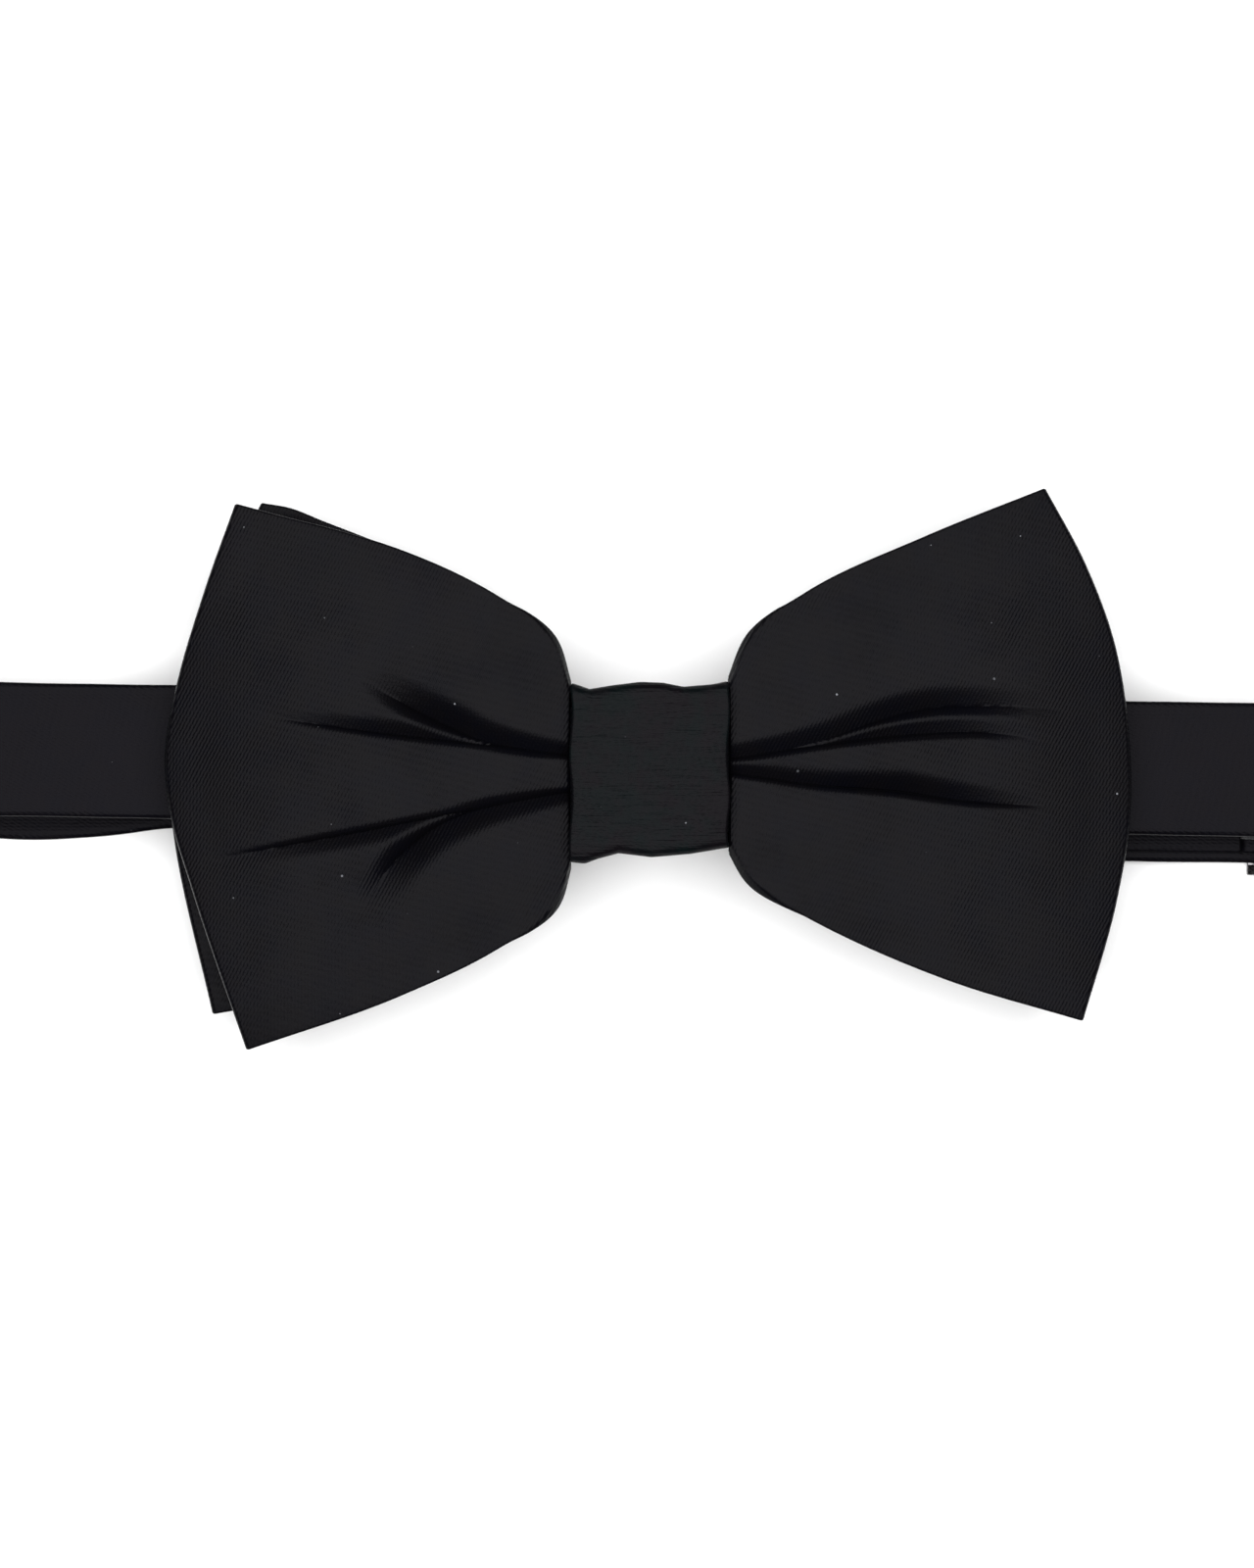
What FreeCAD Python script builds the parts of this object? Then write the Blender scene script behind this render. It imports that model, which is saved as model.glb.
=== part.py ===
"""Pre-tied satin bow tie with its adjustable neck strap fastened and pressed flat behind it.

The tie lies on its back on a table: +X points to the bow's right as it is looked at, +Y to its
top and +Z out of its front. The origin is on the table, under the middle of the bow. Millimetres.
"""

import FreeCAD, Part
import math
import os

V = FreeCAD.Vector
GAP = 0.05

# Strap, in its own straight frame. The whole strap is then tilted a little under the bow.
STRAP_WIDTH = 16.8
STRAP_THICK = 0.8
STRAP_TILT_DEG = -0.95
STRAP_SHIFT_Y = 1.2
FOLD_REACH = 98.0
FRONT_Z = 10.0
FRONT_TOP = FRONT_Z + STRAP_THICK
FRONT_SPLIT_X = 12.0
LEFT_REAR_Y = -2.4
RETURN_Y = -2.2
MAIN_Y = -3.4
MAIN_Z = 0.95
RETURN_Z = MAIN_Z + STRAP_THICK + GAP
MAIN_MIDDLE = MAIN_Z + STRAP_THICK / 2
RETURN_MIDDLE = RETURN_Z + STRAP_THICK / 2
LEFT_FOLD_R = FRONT_TOP / 2
LEFT_FOLD_X = -FOLD_REACH + LEFT_FOLD_R
RIGHT_FOLD_R = (FRONT_TOP - MAIN_Z) / 2
RIGHT_FOLD_X = FOLD_REACH - RIGHT_FOLD_R

# Eye ring and hook, joined at the nape.
WIRE_R = 0.8
FASTENER_Y = -2.7
FASTENER_Z = 1.85
RING_BAR_X = -20.0
RING_LENGTH = 6.1
HOOK_LENGTH = 14.0
HOOK_THICK = 0.6
HOOK_CURL_R = 0.95
HOOK_TONGUE_WIDTH = 7.0
HOOK_TONGUE_FLAT = 2.5
HOOK_PLATE_START = 4.6
HOOK_PLATE_LENGTH = 2.6
HARDWARE_HALF_WIDTH = 10.0
RING_SIDE_X = RING_BAR_X - RING_LENGTH
HOOK_BAR_X = RING_SIDE_X - HOOK_LENGTH

# Strap ends turned round the fastener's bars.
LOOP_PLAY = 0.05
HOOK_LOOP_PLAY = 0.2
HOOK_SLACK = 0.9
RING_LOOP_END = RING_BAR_X + 10.0
SEWN_LENGTH = 9.0
LEFT_SEWN_END = HOOK_BAR_X - 5.5

# Slide adjuster.
SLIDE_X = 82.0
SLIDE_HALF_LENGTH = 5.5
SLIDE_CREST = 1.8
SLIDE_BAR_WIDTH = 1.6
SLIDE_BAR_THICK = 0.9
SLIDE_RAIL_THICK = 1.2
CENTRE_BAR_R = 0.5
TAIL_THICK = 0.5
TAIL_LAP = 3.6
TAIL_MEET = 3.0
TAIL_DROP = 0.4
CENTRE_BAR_Z = RETURN_Z + TAIL_THICK + GAP + CENTRE_BAR_R

# Stitching and label.
STITCH_LENGTH = 2.2
STITCH_THICK = 0.3
TACK_PITCH = 1.6
TACK_ROWS = 9
LABEL_X = (-84.0, -62.0)
LABEL_HALF_WIDTH = 5.5
LABEL_THICK = 0.3

# Knot.
KNOT_X = (-9.4, 10.1)
KNOT_Y = (-10.8, 10.6)
KNOT_Z = (8.9, 25.2)
KNOT_MIDDLE_Y = sum(KNOT_Y) / 2
KNOT_WALL = 0.8
KNOT_FRONT_RADIUS = 2.0
PADDING_WALL = 0.9
PADDING_INSET_X = 0.6
FLAP_HALF_WIDTH = 3.0
FLAP_THICK = 0.4
FLAP_STITCHES = 7

# Gathered middles of the bows, and the thread round them.
WAIST_HALF_HEIGHT = 7.8
PLEATS = 5
PLEAT_SHARES = (0.35, 0.5, 0.65)
FRONT_WAIST_Z = (16.5, 22.6)
REAR_WAIST_Z = (11.4, 16.2)
THREAD_TURNS = 5
THREAD_PITCH = 0.6
THREAD_WIDTH = 0.44
THREAD_HALF_HEIGHTS = (7.9, 8.4)
THREAD_INNER_Z = (11.3, 22.75)
THREAD_OUTER_Z = (10.9, 23.15)

# Wings: height of the underside and the top at the knot, half way out and at the outer fold.
SATIN = 0.5
LINING_THICK = 0.4
LINING_INSET = 2.0
REAR_UNDER = (11.4, 11.3, 11.0)
REAR_TOP = (15.4, 14.9, 13.4)
FRONT_UNDER = (16.0, 15.5, 16.6)
FRONT_UPPER = (22.6, 23.0, 19.2)
MOUTH_INSET = 2.0
WING_ROOT_X = 9.0
WING_TIP_X = 61.0
WING_HALF_SPAN = 36.0
CROWN_LIFT = 0.2
FRONT_RIM_SHARE = 0.62
REAR_RIM_SHARE = 0.42
TOOL_HEIGHT = 30.0

# Each plan is (upper edge, outer edge, lower edge) of a wing: out from the knot, round, and back.
FRONT_LEFT_PLAN = (
    [(-9.5, 10.6), (-11.4, 16.4), (-18.3, 21.4), (-30.5, 27.3), (-50.7, 32.8)],
    [(-50.7, 32.8), (-59.2, 3.0), (-49.4, -34.8)],
    [(-49.4, -34.8), (-30.5, -28.1), (-18.3, -22.2), (-11.0, -17.0), (-9.5, -12.0)],
)
FRONT_RIGHT_PLAN = (
    [(10.2, 11.2), (12.4, 16.5), (19.5, 21.8), (34.1, 28.7), (49.2, 34.8)],
    [(49.2, 34.8), (60.0, 0.0), (53.9, -31.2)],
    [(53.9, -31.2), (36.6, -25.9), (19.5, -18.2), (12.4, -14.0), (10.2, -10.2)],
)
REAR_LEFT_PLAN = (
    [(-9.5, 9.6), (-11.6, 15.6), (-18.3, 20.8), (-32.0, 27.6), (-47.9, 33.1)],
    [(-47.9, 33.1), (-60.0, 2.0), (-54.0, -30.6)],
    [(-54.0, -30.6), (-32.0, -26.6), (-18.3, -21.0), (-11.2, -15.8), (-9.5, -10.8)],
)
REAR_RIGHT_PLAN = (
    [(10.2, 10.2), (12.6, 15.6), (19.5, 20.8), (34.1, 27.6), (48.6, 33.4)],
    [(48.6, 33.4), (59.2, 0.0), (53.2, -29.8)],
    [(53.2, -29.8), (36.6, -24.9), (19.5, -17.2), (12.6, -13.2), (10.2, -9.4)],
)


# Shared shapes ----------------------------------------------------------------------------------


def on_strap(shape):
    """Move a shape from the strap's own straight frame to its place under the bow."""
    placed = shape.copy()
    placed.rotate(V(0, 0, 0), V(0, 0, 1), STRAP_TILT_DEG)
    placed.translate(V(0, STRAP_SHIFT_Y, 0))
    return placed


def block(x, y, z):
    """Box from three (low, high) pairs."""
    return Part.makeBox(x[1] - x[0], y[1] - y[0], z[1] - z[0], V(x[0], y[0], z[0]))


def across(points, y_middle, width):
    """Polygon drawn in XZ and pulled across the strap's width."""
    corners = [V(x, y_middle - width / 2, z) for x, z in points]
    face = Part.Face(Part.makePolygon(corners + corners[:1]))
    return face.extrude(V(0, width, 0))


def slab(start, end, thick, y_middle, width=STRAP_WIDTH):
    """Flat run whose middle goes from one XZ point to another."""
    half = thick / 2
    (x0, z0), (x1, z1) = start, end
    return across([(x0, z0 - half), (x1, z1 - half), (x1, z1 + half), (x0, z0 + half)], y_middle, width)


def half_ring(x, z, inner, thick, y_middle, width, towards=1):
    """Half tube about a line along Y, bulging towards +X or -X."""
    base = V(x, y_middle - width / 2, z)
    outer = Part.makeCylinder(inner + thick, width, base, V(0, 1, 0))
    hole = Part.makeCylinder(inner, width, base, V(0, 1, 0))
    reach = inner + thick + 1
    side = (x, x + reach) if towards > 0 else (x - reach, x)
    keep = block(side, (base.y - 1, base.y + width + 1), (z - reach, z + reach))
    return outer.cut(hole).common(keep)


def bar(x, z, radius):
    """Round bar across the strap, between the hardware's side rails."""
    start = V(x, FASTENER_Y - HARDWARE_HALF_WIDTH, z)
    return Part.makeCylinder(radius, 2 * HARDWARE_HALF_WIDTH, start, V(0, 1, 0))


def joined(first, *others):
    """One solid from pieces that touch or overlap."""
    return first.fuse(list(others)).removeSplitter()


def stitches(xs, ys, z, length=STITCH_LENGTH, thick=STITCH_THICK):
    """Grid of thread stitches lying along X."""
    made = [Part.makeBox(length, thick, thick, V(x - length / 2, y - thick / 2, z)) for x in xs for y in ys]
    return Part.makeCompound(made)


def tack_rows(y_middle):
    """Places across the strap of one bar of stitching."""
    first = -(TACK_ROWS - 1) / 2
    return [y_middle + TACK_PITCH * (first + i) for i in range(TACK_ROWS)]


# Wings ------------------------------------------------------------------------------------------


def drawn_in(plan, inset):
    """The same plan with every point moved inwards, square to the outline, by inset."""
    upper, outer, lower = plan
    loop = [V(x, y, 0) for x, y in upper + outer[1:] + lower[1:]]
    count = len(loop)
    turning = sum(loop[i - 1].cross(loop[i]).z for i in range(count))
    inwards = 1 if turning > 0 else -1
    moved = []
    for i, point in enumerate(loop):
        before = (point - loop[i - 1]).normalize()
        after = (loop[(i + 1) % count] - point).normalize()
        normal = V(-before.y - after.y, before.x + after.x, 0).normalize() * inwards
        half_turn = before.getAngle(after) / 2
        shifted = point + normal * (inset / math.cos(half_turn))
        moved.append((shifted.x, shifted.y))
    first = len(upper)
    second = first + len(outer) - 1
    return moved[:first], moved[first - 1 : second], moved[second - 1 :]


def plan_prism(plan, inset):
    """Upright body with a wing's outline, drawn in by inset."""
    upper, outer, lower = drawn_in(plan, inset)
    edges = []
    for run in (upper, lower):
        curve = Part.BSplineCurve()
        curve.interpolate([V(x, y, 0) for x, y in run])
        edges.append(curve.toShape())
    tip = Part.Arc(*[V(x, y, 0) for x, y in outer]).toShape()
    root = Part.LineSegment(V(*lower[-1], 0), V(*upper[0], 0)).toShape()
    outline = Part.Wire([edges[0], tip, edges[1], root])
    return Part.Face(outline).extrude(V(0, 0, TOOL_HEIGHT))


def wing_envelope(side, under, over, inset):
    """Body whose height changes from the knot outwards, wide enough for any wing."""
    xs = (WING_ROOT_X, (WING_ROOT_X + WING_TIP_X) / 2, WING_TIP_X)
    y = -WING_HALF_SPAN
    low = [V(side * x, y, z + inset) for x, z in zip(xs, under)]
    high = [V(side * x, y, z - inset) for x, z in zip(xs, over)]
    edges = [
        Part.Arc(*low).toShape(),
        Part.LineSegment(low[2], high[2]).toShape(),
        Part.Arc(*high).toShape(),
        Part.LineSegment(high[0], low[0]).toShape(),
    ]
    return Part.Face(Part.Wire(Part.__sortEdges__(edges))).extrude(V(0, 2 * WING_HALF_SPAN, 0))


def crown(low_z, high_z, rim_share, inset):
    """Long body along X whose top falls away to a share of its height at the wings' long edges."""
    rim = low_z + (high_z - low_z) * rim_share - inset
    span = WING_HALF_SPAN
    x = -WING_TIP_X
    top = Part.Arc(V(x, -span, rim), V(x, 0, high_z - inset), V(x, span, rim)).toShape()
    sides = Part.makePolygon([V(x, y, z) for y, z in ((span, rim), (span, 0), (-span, 0), (-span, rim))])
    return Part.Face(Part.Wire([top] + sides.Edges)).extrude(V(2 * WING_TIP_X, 0, 0))


def wing_body(plan, side, under, over, rim_share, inset):
    """Solid wing, or the hollow in it when inset is the cloth's thickness."""
    puff = wing_envelope(side, under, over, inset)
    rounded = crown(min(under), max(over) + CROWN_LIFT, rim_share, inset)
    return plan_prism(plan, inset).common(puff).common(rounded)


def wing(plan, side, under, over, rim_share):
    """Folded satin loop: a skin round a hollow that opens only where it enters the knot."""
    hollow = wing_body(plan, side, under, over, rim_share, SATIN)
    upper, _, lower = plan
    root_x, root_top = upper[0]
    root_bottom = lower[-1][1]
    x = sorted((root_x - side * SATIN, root_x + side * 3 * SATIN))
    y = (root_bottom + MOUTH_INSET, root_top - MOUTH_INSET)
    mouth = block(x, y, (under[0] + SATIN, over[0] - SATIN))
    return wing_body(plan, side, under, over, rim_share, 0).cut([hollow, mouth]).Solids[0]


def lining(plan, side, under, over):
    """Stiff interlining sheet half way up inside a wing."""
    middle = [(a + b) / 2 for a, b in zip(under, over)]
    low = [z - LINING_THICK / 2 for z in middle]
    high = [z + LINING_THICK / 2 for z in middle]
    return plan_prism(plan, LINING_INSET).common(wing_envelope(side, low, high, 0)).Solids[0]


def waist(z, depth):
    """Gathered middle of a bow under the knot, pleated along X."""
    bottom = KNOT_MIDDLE_Y - WAIST_HALF_HEIGHT
    top = KNOT_MIDDLE_Y + WAIST_HALF_HEIGHT
    pitch = 2 * WAIST_HALF_HEIGHT / PLEATS
    rise, valley, back = PLEAT_SHARES
    outline = []
    for i in range(PLEATS):
        y = bottom + i * pitch
        outline += [(y, z[1]), (y + rise * pitch, z[1])]
        outline += [(y + valley * pitch, z[1] - depth), (y + back * pitch, z[1])]
    outline += [(top, z[1]), (top, z[0]), (bottom, z[0])]
    start = KNOT_X[0] - GAP
    corners = [V(start, y, height) for y, height in outline]
    face = Part.Face(Part.makePolygon(corners + corners[:1]))
    return face.extrude(V(KNOT_X[1] - KNOT_X[0] + 2 * GAP, 0, 0))


# Knot -------------------------------------------------------------------------------------------


def knot_block(inset, x, low_z):
    """Block with rounded front edges that the knot is cut from."""
    y = (KNOT_Y[0] + inset, KNOT_Y[1] - inset)
    top = KNOT_Z[1] - inset
    body = block(x, y, (low_z, top))
    length = x[1] - x[0]
    front = [e for e in body.Edges if abs(e.BoundBox.XLength - length) < GAP and e.BoundBox.ZMin > top - GAP]
    return body.makeFillet(KNOT_FRONT_RADIUS - inset, front)


def knot_wrap():
    """Satin band wrapped round the waists and the strap, open at both ends."""
    inner_x = (KNOT_X[0] - 1, KNOT_X[1] + 1)
    return knot_block(0, KNOT_X, KNOT_Z[0]).cut(knot_block(KNOT_WALL, inner_x, KNOT_Z[0] + KNOT_WALL))


def knot_padding():
    """Felt pad under the wrap, over the front and down both sides, open towards the strap."""
    outer = KNOT_WALL + GAP
    inner = outer + PADDING_WALL
    x = (KNOT_X[0] + PADDING_INSET_X, KNOT_X[1] - PADDING_INSET_X)
    low_z = FRONT_TOP + 4 * GAP
    return knot_block(outer, x, low_z).cut(knot_block(inner, (x[0] - 1, x[1] + 1), low_z - 1))


def gathering_thread():
    """Turns of thread that draw both waists together."""
    middle_x = sum(KNOT_X) / 2
    inner, outer = THREAD_HALF_HEIGHTS
    made = []
    for i in range(THREAD_TURNS):
        x = middle_x + (i - (THREAD_TURNS - 1) / 2) * THREAD_PITCH
        span = (x - THREAD_WIDTH / 2, x + THREAD_WIDTH / 2)
        outside = block(span, (KNOT_MIDDLE_Y - outer, KNOT_MIDDLE_Y + outer), THREAD_OUTER_Z)
        inside = block((x - 1, x + 1), (KNOT_MIDDLE_Y - inner, KNOT_MIDDLE_Y + inner), THREAD_INNER_Z)
        made.append(outside.cut(inside))
    return Part.makeCompound(made)


def knot_flap():
    """Turned-under end of the wrap, lapped over it behind the knot."""
    z = KNOT_Z[0] - GAP
    x = (KNOT_X[0] + PADDING_INSET_X, KNOT_X[1] - PADDING_INSET_X)
    return block(x, (-FLAP_HALF_WIDTH, FLAP_HALF_WIDTH), (z - FLAP_THICK, z))


def knot_stitches():
    """Hand stitches along the flap's edge."""
    pitch = (KNOT_X[1] - KNOT_X[0]) / FLAP_STITCHES
    xs = [KNOT_X[0] + pitch * (i + 0.5) for i in range(FLAP_STITCHES)]
    z = KNOT_Z[0] - GAP - STITCH_THICK
    return stitches(xs, [FLAP_HALF_WIDTH + STITCH_THICK], z, length=pitch * 0.6)


# Strap ------------------------------------------------------------------------------------------


def strap_run(x, y_middle, low_z):
    """Flat, straight run of strap."""
    half = STRAP_WIDTH / 2
    return block(x, (y_middle - half, y_middle + half), (low_z, low_z + STRAP_THICK))


def left_fold():
    """Turn of the strap at the left end of the flattened loop."""
    inner = LEFT_FOLD_R - STRAP_THICK
    return half_ring(LEFT_FOLD_X, LEFT_FOLD_R, inner, STRAP_THICK, LEFT_REAR_Y / 2, STRAP_WIDTH, towards=-1)


def right_fold():
    """Turn of the strap at the right end of the flattened loop."""
    inner = RIGHT_FOLD_R - STRAP_THICK
    return half_ring(RIGHT_FOLD_X, MAIN_Z + RIGHT_FOLD_R, inner, STRAP_THICK, MAIN_Y / 2, STRAP_WIDTH)


def hook_loop():
    """Strap end turned round the hook's bar and laid back on the run, with play for the clasp."""
    turn_x = HOOK_BAR_X + HOOK_SLACK
    inner = WIRE_R + HOOK_LOOP_PLAY
    low = (turn_x, FASTENER_Z - inner - STRAP_THICK / 2)
    high_z = FASTENER_Z + inner + STRAP_THICK / 2
    lapped_z = STRAP_THICK * 1.5 + GAP
    start = (LEFT_SEWN_END, STRAP_THICK / 2)
    lap = (LEFT_SEWN_END, lapped_z)
    crest = (HOOK_BAR_X - WIRE_R, high_z)
    back = (LEFT_SEWN_END - SEWN_LENGTH, lapped_z)
    return joined(
        half_ring(turn_x, FASTENER_Z, inner, STRAP_THICK, LEFT_REAR_Y, STRAP_WIDTH),
        slab(start, low, STRAP_THICK, LEFT_REAR_Y),
        slab(crest, (turn_x, high_z), STRAP_THICK, LEFT_REAR_Y),
        slab(lap, crest, STRAP_THICK, LEFT_REAR_Y),
        slab(back, lap, STRAP_THICK, LEFT_REAR_Y),
    )


def hook_tack():
    """Two bars of stitching that close the hook loop."""
    middle = LEFT_SEWN_END - SEWN_LENGTH / 2
    xs = [middle - STITCH_LENGTH, middle + STITCH_LENGTH]
    return stitches(xs, tack_rows(LEFT_REAR_Y), 2 * STRAP_THICK + 2 * GAP)


def ring_loop():
    """Turn of the adjustable strap round the ring's bar."""
    inner = WIRE_R + LOOP_PLAY
    low = (RING_BAR_X, FASTENER_Z - inner - STRAP_THICK / 2)
    high = (RING_BAR_X, FASTENER_Z + inner + STRAP_THICK / 2)
    middle_y = (MAIN_Y + RETURN_Y) / 2
    return joined(
        half_ring(RING_BAR_X, FASTENER_Z, inner, STRAP_THICK, middle_y, STRAP_WIDTH, towards=-1),
        slab(low, (RING_LOOP_END, MAIN_MIDDLE), STRAP_THICK, middle_y),
        slab(high, (RING_LOOP_END, RETURN_MIDDLE), STRAP_THICK, middle_y),
    )


def tail_loop():
    """Strap end turned round the slide's centre bar and laid back on the return run."""
    inner = CENTRE_BAR_R + GAP
    low = CENTRE_BAR_Z - inner - TAIL_THICK / 2
    high = CENTRE_BAR_Z + inner + TAIL_THICK / 2
    lapped = RETURN_Z + STRAP_THICK + GAP + TAIL_THICK / 2
    meet = SLIDE_X - TAIL_MEET
    return joined(
        half_ring(SLIDE_X, CENTRE_BAR_Z, inner, TAIL_THICK, RETURN_Y, STRAP_WIDTH),
        slab((meet, low), (SLIDE_X, low), TAIL_THICK, RETURN_Y),
        slab((meet, high - TAIL_DROP), (SLIDE_X, high), TAIL_THICK, RETURN_Y),
        slab((meet - TAIL_LAP, lapped), (meet, high - TAIL_DROP), TAIL_THICK, RETURN_Y),
    )


def tail_tack():
    """Bar of stitching that closes the tail loop."""
    x = SLIDE_X - TAIL_MEET - TAIL_LAP + STITCH_LENGTH / 2
    z = RETURN_Z + STRAP_THICK + TAIL_THICK + 5 * GAP
    return stitches([x], tack_rows(RETURN_Y), z)


def strap_tack():
    """Thread tacks that hold the front strap to the back of the bow."""
    half = STRAP_WIDTH / 3
    xs = [KNOT_X[0] / 2, KNOT_X[1] / 2]
    return stitches(xs, [-half, half], FRONT_TOP + GAP, thick=2 * GAP)


def label():
    """Plain blank label on the inner side of the left rear run."""
    z = STRAP_THICK + GAP
    y = (LEFT_REAR_Y - LABEL_HALF_WIDTH, LEFT_REAR_Y + LABEL_HALF_WIDTH)
    return block(LABEL_X, y, (z, z + LABEL_THICK))


def label_stitches():
    """Thread along both ends of the label."""
    ys = [y for y in tack_rows(LEFT_REAR_Y) if abs(y - LEFT_REAR_Y) < LABEL_HALF_WIDTH]
    xs = [LABEL_X[0] + 1, LABEL_X[1] - 1]
    return stitches(xs, ys, STRAP_THICK + LABEL_THICK + 2 * GAP, length=1, thick=0.2)


# Hardware ---------------------------------------------------------------------------------------


def side_rail(x, side, length):
    """Wire along X beside the strap, with a rounded corner at its start."""
    start = V(x, FASTENER_Y + side * HARDWARE_HALF_WIDTH, FASTENER_Z)
    return [Part.makeCylinder(WIRE_R, length, start, V(1, 0, 0)), Part.makeSphere(WIRE_R, start)]


def eye_ring():
    """Rectangular wire ring: the strap turns round one bar, the hook catches the other."""
    parts = [bar(x, FASTENER_Z, WIRE_R) for x in (RING_SIDE_X, RING_BAR_X)]
    for side in (-1, 1):
        parts += side_rail(RING_SIDE_X, side, RING_LENGTH)
        corner = V(RING_BAR_X, FASTENER_Y + side * HARDWARE_HALF_WIDTH, FASTENER_Z)
        parts.append(Part.makeSphere(WIRE_R, corner))
    return joined(*parts)


def hook():
    """Wire frame for the strap, a plate across it and a tongue curled round the ring's bar."""
    plate_start = HOOK_BAR_X + HOOK_PLATE_START
    plate_end = plate_start + HOOK_PLATE_LENGTH
    tongue_start = RING_SIDE_X - HOOK_TONGUE_FLAT
    tongue_z = FASTENER_Z + HOOK_CURL_R + HOOK_THICK / 2
    lip_z = FASTENER_Z - HOOK_CURL_R - HOOK_THICK / 2
    parts = [bar(HOOK_BAR_X, FASTENER_Z, WIRE_R)]
    for side in (-1, 1):
        parts += side_rail(HOOK_BAR_X, side, plate_end - HOOK_BAR_X)
        corner = V(plate_end, FASTENER_Y + side * HARDWARE_HALF_WIDTH, FASTENER_Z)
        parts.append(Part.makeSphere(WIRE_R, corner))
    plate = [(plate_start, FASTENER_Z), (plate_end, FASTENER_Z)]
    parts.append(slab(*plate, HOOK_THICK, FASTENER_Y, 2 * HARDWARE_HALF_WIDTH))
    tongue = [
        ((plate_end - HOOK_THICK / 2, FASTENER_Z), (tongue_start, tongue_z)),
        ((tongue_start, tongue_z), (RING_SIDE_X, tongue_z)),
        ((tongue_start + HOOK_THICK / 2, lip_z), (RING_SIDE_X, lip_z)),
    ]
    parts += [slab(start, end, HOOK_THICK, FASTENER_Y, HOOK_TONGUE_WIDTH) for start, end in tongue]
    parts.append(half_ring(RING_SIDE_X, FASTENER_Z, HOOK_CURL_R, HOOK_THICK, FASTENER_Y, HOOK_TONGUE_WIDTH))
    return joined(*parts)


def slide_adjuster():
    """Three-bar slide: outer bars under the strap, centre bar above it between raised rails."""
    x0 = SLIDE_X - SLIDE_HALF_LENGTH
    x1 = SLIDE_X + SLIDE_HALF_LENGTH
    crest_z = CENTRE_BAR_Z + CENTRE_BAR_R + 4 * GAP
    profile = [
        (x0, 0),
        (x1, 0),
        (x1, SLIDE_BAR_THICK),
        (SLIDE_X + SLIDE_CREST, crest_z),
        (SLIDE_X - SLIDE_CREST, crest_z),
        (x0, SLIDE_BAR_THICK),
    ]
    rails = [across(profile, FASTENER_Y + side * HARDWARE_HALF_WIDTH, SLIDE_RAIL_THICK) for side in (-1, 1)]
    y = (FASTENER_Y - HARDWARE_HALF_WIDTH, FASTENER_Y + HARDWARE_HALF_WIDTH)
    starts = (x0, x1 - SLIDE_BAR_WIDTH)
    outer = [block((x, x + SLIDE_BAR_WIDTH), y, (0, SLIDE_BAR_THICK)) for x in starts]
    return joined(bar(SLIDE_X, CENTRE_BAR_Z, CENTRE_BAR_R), *rails, *outer)


# The whole tie ----------------------------------------------------------------------------------

BOW = {
    "front_wing_left": wing(FRONT_LEFT_PLAN, -1, FRONT_UNDER, FRONT_UPPER, FRONT_RIM_SHARE),
    "front_wing_right": wing(FRONT_RIGHT_PLAN, 1, FRONT_UNDER, FRONT_UPPER, FRONT_RIM_SHARE),
    "front_lining_left": lining(FRONT_LEFT_PLAN, -1, FRONT_UNDER, FRONT_UPPER),
    "front_lining_right": lining(FRONT_RIGHT_PLAN, 1, FRONT_UNDER, FRONT_UPPER),
    "front_waist": waist(FRONT_WAIST_Z, 1.6),
    "rear_wing_left": wing(REAR_LEFT_PLAN, -1, REAR_UNDER, REAR_TOP, REAR_RIM_SHARE),
    "rear_wing_right": wing(REAR_RIGHT_PLAN, 1, REAR_UNDER, REAR_TOP, REAR_RIM_SHARE),
    "rear_lining_left": lining(REAR_LEFT_PLAN, -1, REAR_UNDER, REAR_TOP),
    "rear_lining_right": lining(REAR_RIGHT_PLAN, 1, REAR_UNDER, REAR_TOP),
    "rear_waist": waist(REAR_WAIST_Z, 1.2),
    "gathering_thread": gathering_thread(),
    "knot_wrap": knot_wrap(),
    "knot_padding": knot_padding(),
    "knot_flap": knot_flap(),
    "knot_stitches": knot_stitches(),
}

STRAP = {
    "front_strap": strap_run((LEFT_FOLD_X, FRONT_SPLIT_X), 0, FRONT_Z),
    "front_strap_right": strap_run((FRONT_SPLIT_X, RIGHT_FOLD_X), 0, FRONT_Z),
    "left_fold": left_fold(),
    "right_fold": right_fold(),
    "left_rear_run": strap_run((LEFT_FOLD_X, LEFT_SEWN_END), LEFT_REAR_Y, 0),
    "hook_loop": hook_loop(),
    "hook_tack": hook_tack(),
    "adjustable_run": strap_run((RING_LOOP_END, RIGHT_FOLD_X), MAIN_Y, MAIN_Z),
    "ring_loop": ring_loop(),
    "return_run": strap_run((RING_LOOP_END, SLIDE_X - TAIL_MEET), RETURN_Y, RETURN_Z),
    "tail_loop": tail_loop(),
    "tail_tack": tail_tack(),
    "strap_tack": strap_tack(),
    "label": label(),
    "label_stitches": label_stitches(),
    "eye_ring": eye_ring(),
    "hook": hook(),
    "slide_adjuster": slide_adjuster(),
}

nodes = dict(BOW)
nodes.update({name: on_strap(shape) for name, shape in STRAP.items()})

os.makedirs("parts", exist_ok=True)
for name, shape in nodes.items():
    shape.exportStep("parts/" + name + ".step")

whole = Part.makeCompound(list(nodes.values())).BoundBox
print("box", [round(v, 2) for v in (whole.XMin, whole.XMax, whole.YMin, whole.YMax, whole.ZMin, whole.ZMax)])
for name, shape in nodes.items():
    print(name, "solids", len(shape.Solids), "valid", shape.isValid(), "mm3", round(shape.Volume, 1))
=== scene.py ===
"""Looks of the pre-tied satin bow tie: cloth, seams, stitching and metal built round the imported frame."""

import math

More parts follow.
